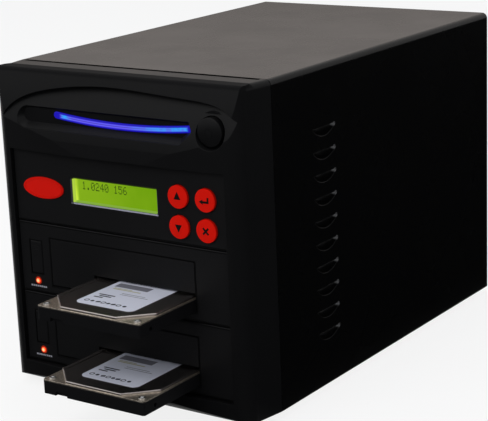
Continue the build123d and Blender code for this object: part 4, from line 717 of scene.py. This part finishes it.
def spin_of(facing, turn):
    """Rotation of a flat piece that faces the front or, with no facing, upwards."""
    return (facing, turn, 0.0) if facing else (0.0, 0.0, turn)


def add_bar(centre, width, height, facing=FACING_FRONT, turn=0.0):
    """Flat bar at a place."""
    clear_selection()
    bpy.ops.mesh.primitive_plane_add(size=1.0, location=centre, rotation=spin_of(facing, turn))
    return stretched(width, height)


def add_disc(centre, radius, corners=24, facing=FACING_FRONT, turn=0.0, stretch=1.0):
    """Flat disc or regular shape at a place; three corners make a triangle."""
    clear_selection()
    bpy.ops.mesh.primitive_circle_add(
        vertices=corners, radius=radius, fill_type="NGON", location=centre, rotation=spin_of(facing, turn)
    )
    return stretched(1.0, stretch)


def hollow(piece, band):
    """Leave only a band along the edge of a flat piece."""
    take(piece)
    start_edit()
    bpy.ops.mesh.inset(thickness=band)
    bpy.ops.mesh.delete(type="FACE")
    end_edit()
    return piece


def add_ring(centre, radius, band, corners=32, facing=FACING_FRONT, stretch=1.0):
    """Flat ring, round or oval, with the same width all round."""
    return hollow(add_disc(centre, radius, corners, facing, stretch=stretch), band)


def thicken(piece, depth, soften=0.0):
    """Give a flat piece a thickness outwards, and soften its edges."""
    solid = piece.modifiers.new("Solidify", "SOLIDIFY")
    solid.thickness = depth
    solid.offset = 1.0
    if soften:
        bevel = piece.modifiers.new("Bevel", "BEVEL")
        bevel.width = soften
        bevel.segments = 2
        bevel.limit_method = "ANGLE"


def lay_on(piece, node, cuts=4):
    """Lay a flat sign on the curved front of a node, along the front-to-back axis."""
    take(piece)
    start_edit()
    bpy.ops.mesh.subdivide(number_cuts=cuts)
    end_edit()
    wrap = piece.modifiers.new("Shrinkwrap", "SHRINKWRAP")
    wrap.target = NODES[node]
    wrap.wrap_method = "PROJECT"
    wrap.use_project_y = True
    wrap.use_positive_direction = True
    wrap.use_negative_direction = True


def settle(piece, name, finish, body, depth=0.0, soften=0.0):
    """Thicken and name a finished piece, put its place in its mesh, colour it and hang it on its body."""
    if depth:
        thicken(piece, depth, soften)
    apply_modifiers(piece)
    apply_place()
    piece.name = name
    piece.data.name = name
    piece.data.materials.clear()
    piece.data.materials.append(finish_of(finish))
    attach(piece, body)


def middle_of(node):
    """Centre of a node's box at rest."""
    low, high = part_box(node)
    return (low + high) / 2


DIGIT_DOTS = {
    "0": ("01110", "10001", "10011", "10101", "11001", "10001", "01110"),
    "1": ("00100", "01100", "00100", "00100", "00100", "00100", "01110"),
    "2": ("01110", "10001", "00001", "00110", "01000", "10000", "11111"),
    "4": ("00010", "00110", "01010", "10010", "11111", "00010", "00010"),
    "5": ("11111", "10000", "11110", "00001", "00001", "10001", "01110"),
    "6": ("00110", "01000", "10000", "11110", "10001", "10001", "01110"),
    ".": ("00000", "00000", "00000", "00000", "00000", "01100", "01100"),
    " ": ("00000",) * 7,
}
DISPLAY_ROW = "1.0240 156"
DOTS_PER_DIGIT = 6

# Left edge, distance from the front edge, width and depth of the bars printed on a label, in mm
LABEL_BARS = {
    "print_dark": (
        (4.0, 11.6, 6.0, 1.2),
        (6.0, 13.9, 8.0, 1.2),
        (4.0, 16.2, 11.0, 1.2),
        (4.0, 51.0, 28.0, 0.8),
        (4.0, 53.2, 22.0, 0.8),
    ),
    "print_band": ((15.0, 20.6, 19.0, 0.5), (15.0, 22.6, 16.0, 0.5), (3.0, 31.0, 23.0, 6.0)),
    "print_line": ((5.0, 27.2, 19.0, 0.9), (5.0, 28.9, 12.0, 0.6)),
}
LABEL_STRIPES = (0.9, 0.4, 1.3, 0.5, 0.8, 0.4, 1.6, 0.6, 0.9, 0.5, 1.2, 0.4, 0.7, 1.4, 0.5)
LABEL_MARKS = (4.6, 8.4, 12.4, 16.0, 19.4, 22.8, 26.4, 30.4)


class DUPLICATOR_OT_finishes(bpy.types.Operator):
    """Give every carried-over part its finish"""

    bl_idname = "duplicator.finishes"
    bl_label = "Finishes"

    def execute(self, context):
        slots = node_slots()
        for name, node in NODES.items():
            finish = "key_red" if name.endswith("_key") else slots[name]
            node.data.materials.clear()
            node.data.materials.append(finish_of(finish))
        return {"FINISHED"}


class DUPLICATOR_OT_display_digits(bpy.types.Operator):
    """Model the dark dots of the display's digits"""

    bl_idname = "duplicator.display_digits"
    bl_label = "Display digits"

    def execute(self, context):
        low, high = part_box("display_glass")
        across = sizes().dot_width
        upward = sizes().dot_height
        left = low.x + sizes().digit_left
        top = high.z - sizes().digit_drop
        share_filled = 0.88
        dot = add_bar((0.0, low.y, 0.0), across * share_filled, upward * share_filled)
        thicken(dot, sizes().ink_lift)
        apply_modifiers(dot)
        dots = []
        for place, digit in enumerate(DISPLAY_ROW):
            for row, line in enumerate(DIGIT_DOTS[digit]):
                for column, mark in enumerate(line):
                    if mark == "1":
                        copy = dot.copy()
                        copy.data = dot.data.copy()
                        along_row = place * DOTS_PER_DIGIT + column + 0.5
                        copy.location = (left + along_row * across, 0.0, top - (row + 0.5) * upward)
                        context.collection.objects.link(copy)
                        dots.append(copy)
        bpy.data.objects.remove(dot)
        settle(merge(dots), "display_digits", "display_ink", "cabinet")
        return {"FINISHED"}


class DUPLICATOR_OT_badge_rim(bpy.types.Operator):
    """Model the raised rim of the bare badge"""

    bl_idname = "duplicator.badge_rim"
    bl_label = "Badge rim"

    def execute(self, context):
        low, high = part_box("badge")
        middle = middle_of("badge")
        inset = 0.75 * MM
        half_width = (high.x - low.x) / 2 - inset
        half_height = (high.z - low.z) / 2 - inset
        place = (middle.x, low.y, middle.z)
        rim = add_ring(place, half_width, sizes().rim_width, 96, stretch=half_height / half_width)
        settle(rim, "badge_rim", "badge_red", "cabinet", 0.22 * MM, 0.08 * MM)
        return {"FINISHED"}


class DUPLICATOR_OT_front_shadow_strip(bpy.types.Operator):
    """Model a flat black strip over the gap between the cover and the front moulding, a painted shadow of
    that gap
    """

    bl_idname = "duplicator.front_seal"
    bl_label = "Front shadow strip"

    def execute(self, context):
        low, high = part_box("top_cover")
        corner = 6.0 * MM
        strip_depth = 3.2 * MM
        sink = 0.02 * MM
        # Painted shadow: a matt black strip where the gap between cover and moulding lies in shade
        centre = (0.0, low.y - strip_depth / 2, high.z - sink)
        strip = add_bar(centre, high.x - low.x - 2 * corner, strip_depth, facing=0.0)
        settle(strip, "front_seal", "shadow_black", "cabinet", sink, 0.005 * MM)
        return {"FINISHED"}


class DUPLICATOR_OT_shadow_lines(bpy.types.Operator):
    """Model flat black bands along the gaps of the racks, doors and eject buttons, painted shadows of those
    gaps
    """

    bl_idname = "duplicator.shadow_lines"
    bl_label = "Shadow lines"

    def execute(self, context):
        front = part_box("lower_rack_face")[0].y
        band = 0.7 * MM
        inset = 0.8 * MM
        line_depth = 0.02 * MM
        door_width = 102.8 * MM
        door_low, door_high = 5.1 * MM, 33.6 * MM
        button_width = 8.9 * MM
        button_low, button_high = 11.3 * MM, 31.0 * MM
        for bay, rack in enumerate(RACKS):
            floor = RACK_FLOOR + bay * RACK_PITCH
            door_middle = (0.0, front, floor + (door_low + door_high) / 2)
            button_middle = (EJECT_MIDDLE, front, floor + (button_low + button_high) / 2)
            low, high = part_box(f"{rack}_rack_face")
            face_width = high.x - low.x - 3 * inset
            # Painted shadow: flat black bands round the door and the eject button, and along the face's top
            # and bottom
            lines = merge([
                self.outline(door_middle, door_width, door_high - door_low, band),
                self.outline(button_middle, button_width, button_high - button_low, band * 0.8),
                add_bar((0.0, front, high.z - inset), face_width, band),
                add_bar((0.0, front, low.z + inset), face_width, band),
            ])
            settle(lines, f"{rack}_shadow_lines", "shadow_black", "cabinet", line_depth)
        low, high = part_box("control_panel")
        line = add_bar((0.0, low.y, low.z + inset), high.x - low.x - 3 * inset, band)
        settle(line, "panel_shadow_line", "shadow_black", "cabinet", line_depth)
        return {"FINISHED"}

    def outline(self, centre, width, height, band):
        """Flat band round an opening."""
        return hollow(add_bar(centre, width + 2 * band, height + 2 * band), band)


class DUPLICATOR_OT_rocker_signs(bpy.types.Operator):
    """Model the bar and the ring printed on the mains rocker"""

    bl_idname = "duplicator.rocker_signs"
    bl_label = "Rocker signs"

    def execute(self, context):
        middle = middle_of("power_rocker")
        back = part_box("power_rocker")[1].y + 1.0 * MM
        reach = 4.6 * MM
        stroke = 0.7 * MM
        bar_height = 3.4 * MM
        ring_radius = 1.7 * MM
        facing = -FACING_FRONT
        bar = add_bar((middle.x, back, middle.z + reach), stroke, bar_height, facing)
        ring = add_ring((middle.x, back, middle.z - reach), ring_radius, stroke, 24, facing)
        signs = merge([bar, ring])
        lay_on(signs, "power_rocker", 2)
        settle(signs, "rocker_signs", "pale_ink", "power_rocker", sizes().ink_lift)
        return {"FINISHED"}


class DUPLICATOR_OT_key_signs(bpy.types.Operator):
    """Model the printed signs on the four keys and lay them on the domes"""

    bl_idname = "duplicator.key_signs"
    bl_label = "Key signs"

    def execute(self, context):
        span = sizes().sign_size
        for node, parts in (
            ("up_key", self.arrow(span, 0.0)),
            ("down_key", self.arrow(span, math.pi)),
            ("enter_key", self.hook(span * 1.25)),
            ("escape_key", self.cross(span * 1.2)),
        ):
            sign = merge(parts)
            middle = middle_of(node)
            sign.location = (middle.x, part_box(node)[0].y - 1.0 * MM, middle.z)
            take(sign)
            apply_place()
            lay_on(sign, node)
            settle(sign, f"{node}_sign", "key_ink", node, sizes().ink_lift)
        return {"FINISHED"}

    def arrow(self, span, turn):
        """Solid triangle that points up, or down when turned."""
        return [add_disc((0.0, 0.0, 0.0), span * 0.6, 3, turn=turn, stretch=1.1)]

    def hook(self, span):
        """Return arrow: a long bar, a short upright and a triangle that points left."""
        stroke = span * 0.22
        drop = -span * 0.16
        return [
            add_bar((0.08 * span, 0.0, drop), span * 0.84, stroke),
            add_bar((0.5 * span - stroke / 2, 0.0, drop + 0.24 * span), stroke, 0.5 * span),
            add_disc((-0.36 * span, 0.0, drop), 0.3 * span, 3, turn=-math.pi / 2),
        ]

    def cross(self, span):
        """Two crossed bars."""
        return [
            add_bar((0.0, 0.0, 0.0), span * 0.95, span * 0.22, turn=turn)
            for turn in (math.pi / 4, -math.pi / 4)
        ]


class DUPLICATOR_OT_power_sign(bpy.types.Operator):
    """Model the faint raised sign on the power button"""

    bl_idname = "duplicator.power_sign"
    bl_label = "Power sign"

    def execute(self, context):
        middle = middle_of("power_button")
        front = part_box("power_button")[0].y - 1.0 * MM
        radius = sizes().power_sign
        stroke = radius * 0.2
        gap = radius * 0.42
        ring = add_ring((middle.x, front, middle.z), radius, stroke, corners=40)
        start_edit("DESELECT")
        end_edit()
        for face in ring.data.polygons:
            place = face.center
            face.select = place.z > middle.z and abs(place.x - middle.x) < gap
        bpy.ops.object.mode_set(mode="EDIT")
        bpy.ops.mesh.delete(type="FACE")
        end_edit()
        stem = add_bar((middle.x, front, middle.z + radius * 0.62), stroke, radius * 0.9)
        sign = merge([ring, stem])
        lay_on(sign, "power_button", 2)
        settle(sign, "power_sign", "bezel_plastic", "power_button", 0.1 * MM)
        return {"FINISHED"}


class DUPLICATOR_OT_lamp_trim(bpy.types.Operator):
    """Model the red collars round the rack lamps and the dashes under them"""

    bl_idname = "duplicator.lamp_trim"
    bl_label = "Lamp trim"

    def execute(self, context):
        dash_widths = (1.4, 1.0, 1.3, 1.1, 0.8, 1.3, 0.9, 1.2)
        dash_height = 1.0 * MM
        gap = 0.4 * MM
        band = sizes().collar_band
        for rack in RACKS:
            middle = middle_of(f"{rack}_lamp_lens")
            low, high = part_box(f"{rack}_lamp_lens")
            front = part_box(f"{rack}_rack_face")[0].y
            # The collar's material paints the lamp's red glow on it
            collar = add_ring((middle.x, front, middle.z), (high.x - low.x) / 2 + band, band)
            settle(collar, f"{rack}_lamp_collar", "lamp_collar", "cabinet", 0.2 * MM, 0.06 * MM)
            total = sum(dash_widths) * MM + gap * (len(dash_widths) - 1)
            start = middle.x - total / 2
            dashes = []
            for width in dash_widths:
                centre = (start + width * MM / 2, front, middle.z - sizes().dash_drop)
                dashes.append(add_bar(centre, width * MM, dash_height))
                start += width * MM + gap
            settle(merge(dashes), f"{rack}_lamp_dashes", "pale_ink", "cabinet", sizes().ink_lift)
        return {"FINISHED"}


class DUPLICATOR_OT_eject_ribs(bpy.types.Operator):
    """Model the grip ribs near the top of the eject buttons"""

    bl_idname = "duplicator.eject_ribs"
    bl_label = "Eject ribs"

    def execute(self, context):
        rib_width = 5.2 * MM
        rib_pitch = 1.1 * MM
        rib_count = 3
        first_drop = 3.0 * MM
        button_top = 30.8 * MM
        for bay, rack in enumerate(RACKS):
            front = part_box(f"{rack}_eject_button")[0].y
            top = RACK_FLOOR + bay * RACK_PITCH + button_top
            ribs = []
            for step in range(rib_count):
                height = top - first_drop - step * rib_pitch
                ribs.append(add_bar((EJECT_MIDDLE, front, height), rib_width, sizes().rib_height))
            grip = merge(ribs)
            settle(grip, f"{rack}_eject_ribs", "face_plastic", f"{rack}_eject", 0.25 * MM, 0.1 * MM)
        return {"FINISHED"}


class DUPLICATOR_OT_label_print(bpy.types.Operator):
    """Model the generic bars, stripes and round marks on the drive labels"""

    bl_idname = "duplicator.label_print"
    bl_label = "Label print"

    def execute(self, context):
        for rack in RACKS:
            low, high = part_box(f"{rack}_drive_label")
            corner = Vector((low.x, low.y, high.z))
            for ink, bars in LABEL_BARS.items():
                parts = [self.bar(corner, *bar) for bar in bars]
                if ink == "print_dark":
                    parts += self.marks(corner) + self.stripes(corner)
                settle(merge(parts), f"{rack}_label_{ink}", ink, f"{rack}_drive", sizes().ink_lift)
        return {"FINISHED"}

    def bar(self, corner, left, depth, width, height):
        """One printed bar, in mm from the label's front left corner."""
        centre = corner + Vector((left + width / 2, depth + height / 2, 0.0)) * MM
        return add_bar(centre, width * MM, height * MM, facing=0.0)

    def marks(self, corner):
        """Row of small discs, rings and squares near the front edge."""
        row_depth = 5.6
        marks = []
        for step, left in enumerate(LABEL_MARKS):
            centre = corner + Vector((left, row_depth, 0.0)) * MM
            if step % 3 == 0:
                marks.append(add_ring(centre, 1.6 * MM, 0.6 * MM, 20, facing=0.0))
            elif step % 3 == 1:
                marks.append(add_disc(centre, 1.15 * MM, 16, facing=0.0))
            else:
                marks.append(add_bar(centre, 2.6 * MM, 2.0 * MM, facing=0.0, turn=0.4))
        return marks

    def stripes(self, corner):
        """Row of upright stripes of uneven width."""
        row_depth = 40.0
        stripe_height = 8.0
        gap = 0.9
        left = 4.0
        stripes = []
        for width in LABEL_STRIPES:
            stripes.append(self.bar(corner, left, row_depth, width, stripe_height))
            left += width + gap
        return stripes


class DUPLICATOR_OT_stage(bpy.types.Operator):
    """Set up the floor, the cards, the background, the lamps and the camera"""

    bl_idname = "duplicator.stage"
    bl_label = "Stage"

    def execute(self, context):
        self.make_floor()
        self.make_cards()
        self.make_world(context)
        self.make_lamps(context)
        self.make_camera(context)
        context.scene.view_settings.view_transform = "Standard"
        return {"FINISHED"}

    def show_white(self, tree, plain, kind, strength, end):
        """Plain shader for diffuse light, white for the camera, reflections and clear plastic."""
        path = add_node(tree, "ShaderNodeLightPath").outputs
        seen = highest(path["Is Camera Ray"], path["Is Glossy Ray"], path["Is Transmission Ray"])
        white = add_node(tree, kind, {"Color": WHITE}).outputs[0]
        inputs = {0: times(seen, strength), 1: plain.outputs[0], 2: white}
        feed(end, {"Surface": add_node(tree, "ShaderNodeMixShader", inputs).outputs[0]})

    def make_floor(self):
        """Pale floor that the camera sees as white, with the object's shadow kept."""
        clear_selection()
        bpy.ops.mesh.primitive_plane_add(size=12.0, location=(0.0, 0.0, -0.0002))
        floor = bpy.context.active_object
        floor.name = "studio_floor"
        material, tree, shader = new_material("pale_floor")
        feed(shader, {"Base Color": (0.86, 0.86, 0.86), "Roughness": 0.9, "Specular IOR Level": 0.0})
        self.show_white(tree, shader, "ShaderNodeEmission", 0.85, tree.nodes["Material Output"])
        floor.data.materials.append(material)

    def make_cards(self):
        """Cards that only reflections see, as a studio puts round glossy black things."""
        dark, tree, shader = new_material("dark_card")
        feed(shader, {"Base Color": (0.01, 0.01, 0.01), "Roughness": 0.9, "Specular IOR Level": 0.0})
        grey, tree, shader = new_material("graded_card")
        warm = (1.0, 0.91, 0.86)
        graded = blend_colours(ramp(tree, "Z", 0.27, 0.46), scaled(warm, 0.12), warm)
        glow = add_node(tree, "ShaderNodeEmission", {"Color": graded})
        feed(tree.nodes["Material Output"], {"Surface": glow.outputs[0]})
        tilt = math.radians(10.0)
        for name, finish, centre, card_size, turn in (
            ("right_card", dark, (0.878, 0.6, 0.139), (1.6, 3.2), (0.0, -tilt, 0.0)),
            ("front_card", dark, (-0.4, -0.859, 0.130), (2.6, 1.5), (-tilt, 0.0, 0.0)),
            ("back_card", grey, (-0.69, 1.02, 0.45), (3.0, 0.9), (FACING_FRONT, 0.0, math.radians(35.1))),
        ):
            clear_selection()
            bpy.ops.mesh.primitive_plane_add(size=1.0, location=centre, rotation=turn)
            card = stretched(*card_size)
            card.name = name
            card.visible_camera = False
            card.visible_diffuse = False
            card.visible_transmission = False
            card.visible_shadow = False
            card.data.materials.append(finish)

    def make_world(self, context):
        """Soft light from all round, and a white background."""
        world = bpy.data.worlds.new("studio")
        world.use_nodes = True
        tree = world.node_tree
        plain = tree.nodes["Background"]
        feed(plain, {"Color": (0.9, 0.93, 1.0), "Strength": 0.45})
        self.show_white(tree, plain, "ShaderNodeBackground", 1.0, tree.nodes["World Output"])
        context.scene.world = world

    def make_lamps(self, context):
        """Softboxes above, in front and at the side, turned to the object."""
        target = Vector((0.0, 0.0, 0.10))
        for name, place, size, power in (
            ("overhead_softbox", (-0.3, 0.1, 1.6), 1.4, 7.0),
            ("front_softbox", (-0.35, -1.35, 1.3), 1.0, 11.5),
            ("side_softbox", (1.6, -0.4, 1.0), 1.0, 3.0),
        ):
            lamp = bpy.data.lights.new(name, "AREA")
            lamp.energy = power
            lamp.size = size
            holder = bpy.data.objects.new(name, lamp)
            holder.location = place
            holder.rotation_euler = (target - Vector(place)).to_track_quat("-Z", "Y").to_euler()
            holder.visible_camera = False
            context.collection.objects.link(holder)

    def make_camera(self, context):
        """Camera at the photograph's viewing angle."""
        azimuth = math.radians(35.122)
        elevation = math.radians(15.019)
        roll = math.radians(-2.376)
        target = Vector((85.238, -115.45, 124.509)) * MM
        away = Matrix.Translation((0.0, 0.0, 825.151 * MM))
        turn = Matrix.Rotation(azimuth, 4, "Z") @ Matrix.Rotation(math.pi / 2 - elevation, 4, "X")
        lens = bpy.data.cameras.new("photo_camera")
        lens.sensor_width = 36.0
        lens.lens = 117.43
        lens.clip_start = 0.05
        lens.clip_end = 50.0
        camera = bpy.data.objects.new("photo_camera", lens)
        camera.matrix_world = Matrix.Translation(target) @ turn @ Matrix.Rotation(roll, 4, "Z") @ away
        context.collection.objects.link(camera)
        context.scene.camera = camera


class DUPLICATOR_PT_panel(bpy.types.Panel):
    """Buttons and values of the duplicator"""

    bl_idname = "DUPLICATOR_PT_panel"
    bl_label = "Duplicator"
    bl_space_type = "VIEW_3D"
    bl_region_type = "UI"
    bl_category = "Duplicator"

    def draw(self, context):
        for operator in OPERATORS:
            self.layout.operator(operator.bl_idname)
        for group in (sizes(), finishes()):
            for name in group.bl_rna.properties.keys():
                if name not in ("rna_type", "name"):
                    self.layout.prop(group, name)


OPERATORS = (
    DUPLICATOR_OT_stage,
    DUPLICATOR_OT_finishes,
    DUPLICATOR_OT_display_digits,
    DUPLICATOR_OT_badge_rim,
    DUPLICATOR_OT_front_shadow_strip,
    DUPLICATOR_OT_shadow_lines,
    DUPLICATOR_OT_rocker_signs,
    DUPLICATOR_OT_key_signs,
    DUPLICATOR_OT_power_sign,
    DUPLICATOR_OT_lamp_trim,
    DUPLICATOR_OT_eject_ribs,
    DUPLICATOR_OT_label_print,
)
CLASSES = (DuplicatorSizes, DuplicatorFinishes, *OPERATORS, DUPLICATOR_PT_panel)


def register():
    """Add the classes and the scene's two groups of values."""
    for added in CLASSES:
        bpy.utils.register_class(added)
    bpy.types.Scene.duplicator_sizes = bpy.props.PointerProperty(type=DuplicatorSizes)
    bpy.types.Scene.duplicator_finishes = bpy.props.PointerProperty(type=DuplicatorFinishes)


def unregister():
    """Take them away again."""
    del bpy.types.Scene.duplicator_finishes
    del bpy.types.Scene.duplicator_sizes
    for added in reversed(CLASSES):
        bpy.utils.unregister_class(added)


def main():
    """Build the looks in order."""
    register()
    bpy.ops.duplicator.stage()
    bpy.ops.duplicator.finishes()
    bpy.ops.duplicator.display_digits()
    bpy.ops.duplicator.badge_rim()
    bpy.ops.duplicator.front_seal()
    bpy.ops.duplicator.shadow_lines()
    bpy.ops.duplicator.rocker_signs()
    bpy.ops.duplicator.key_signs()
    bpy.ops.duplicator.power_sign()
    bpy.ops.duplicator.lamp_trim()
    bpy.ops.duplicator.eject_ribs()
    bpy.ops.duplicator.label_print()


if __name__ == "__main__":
    main()
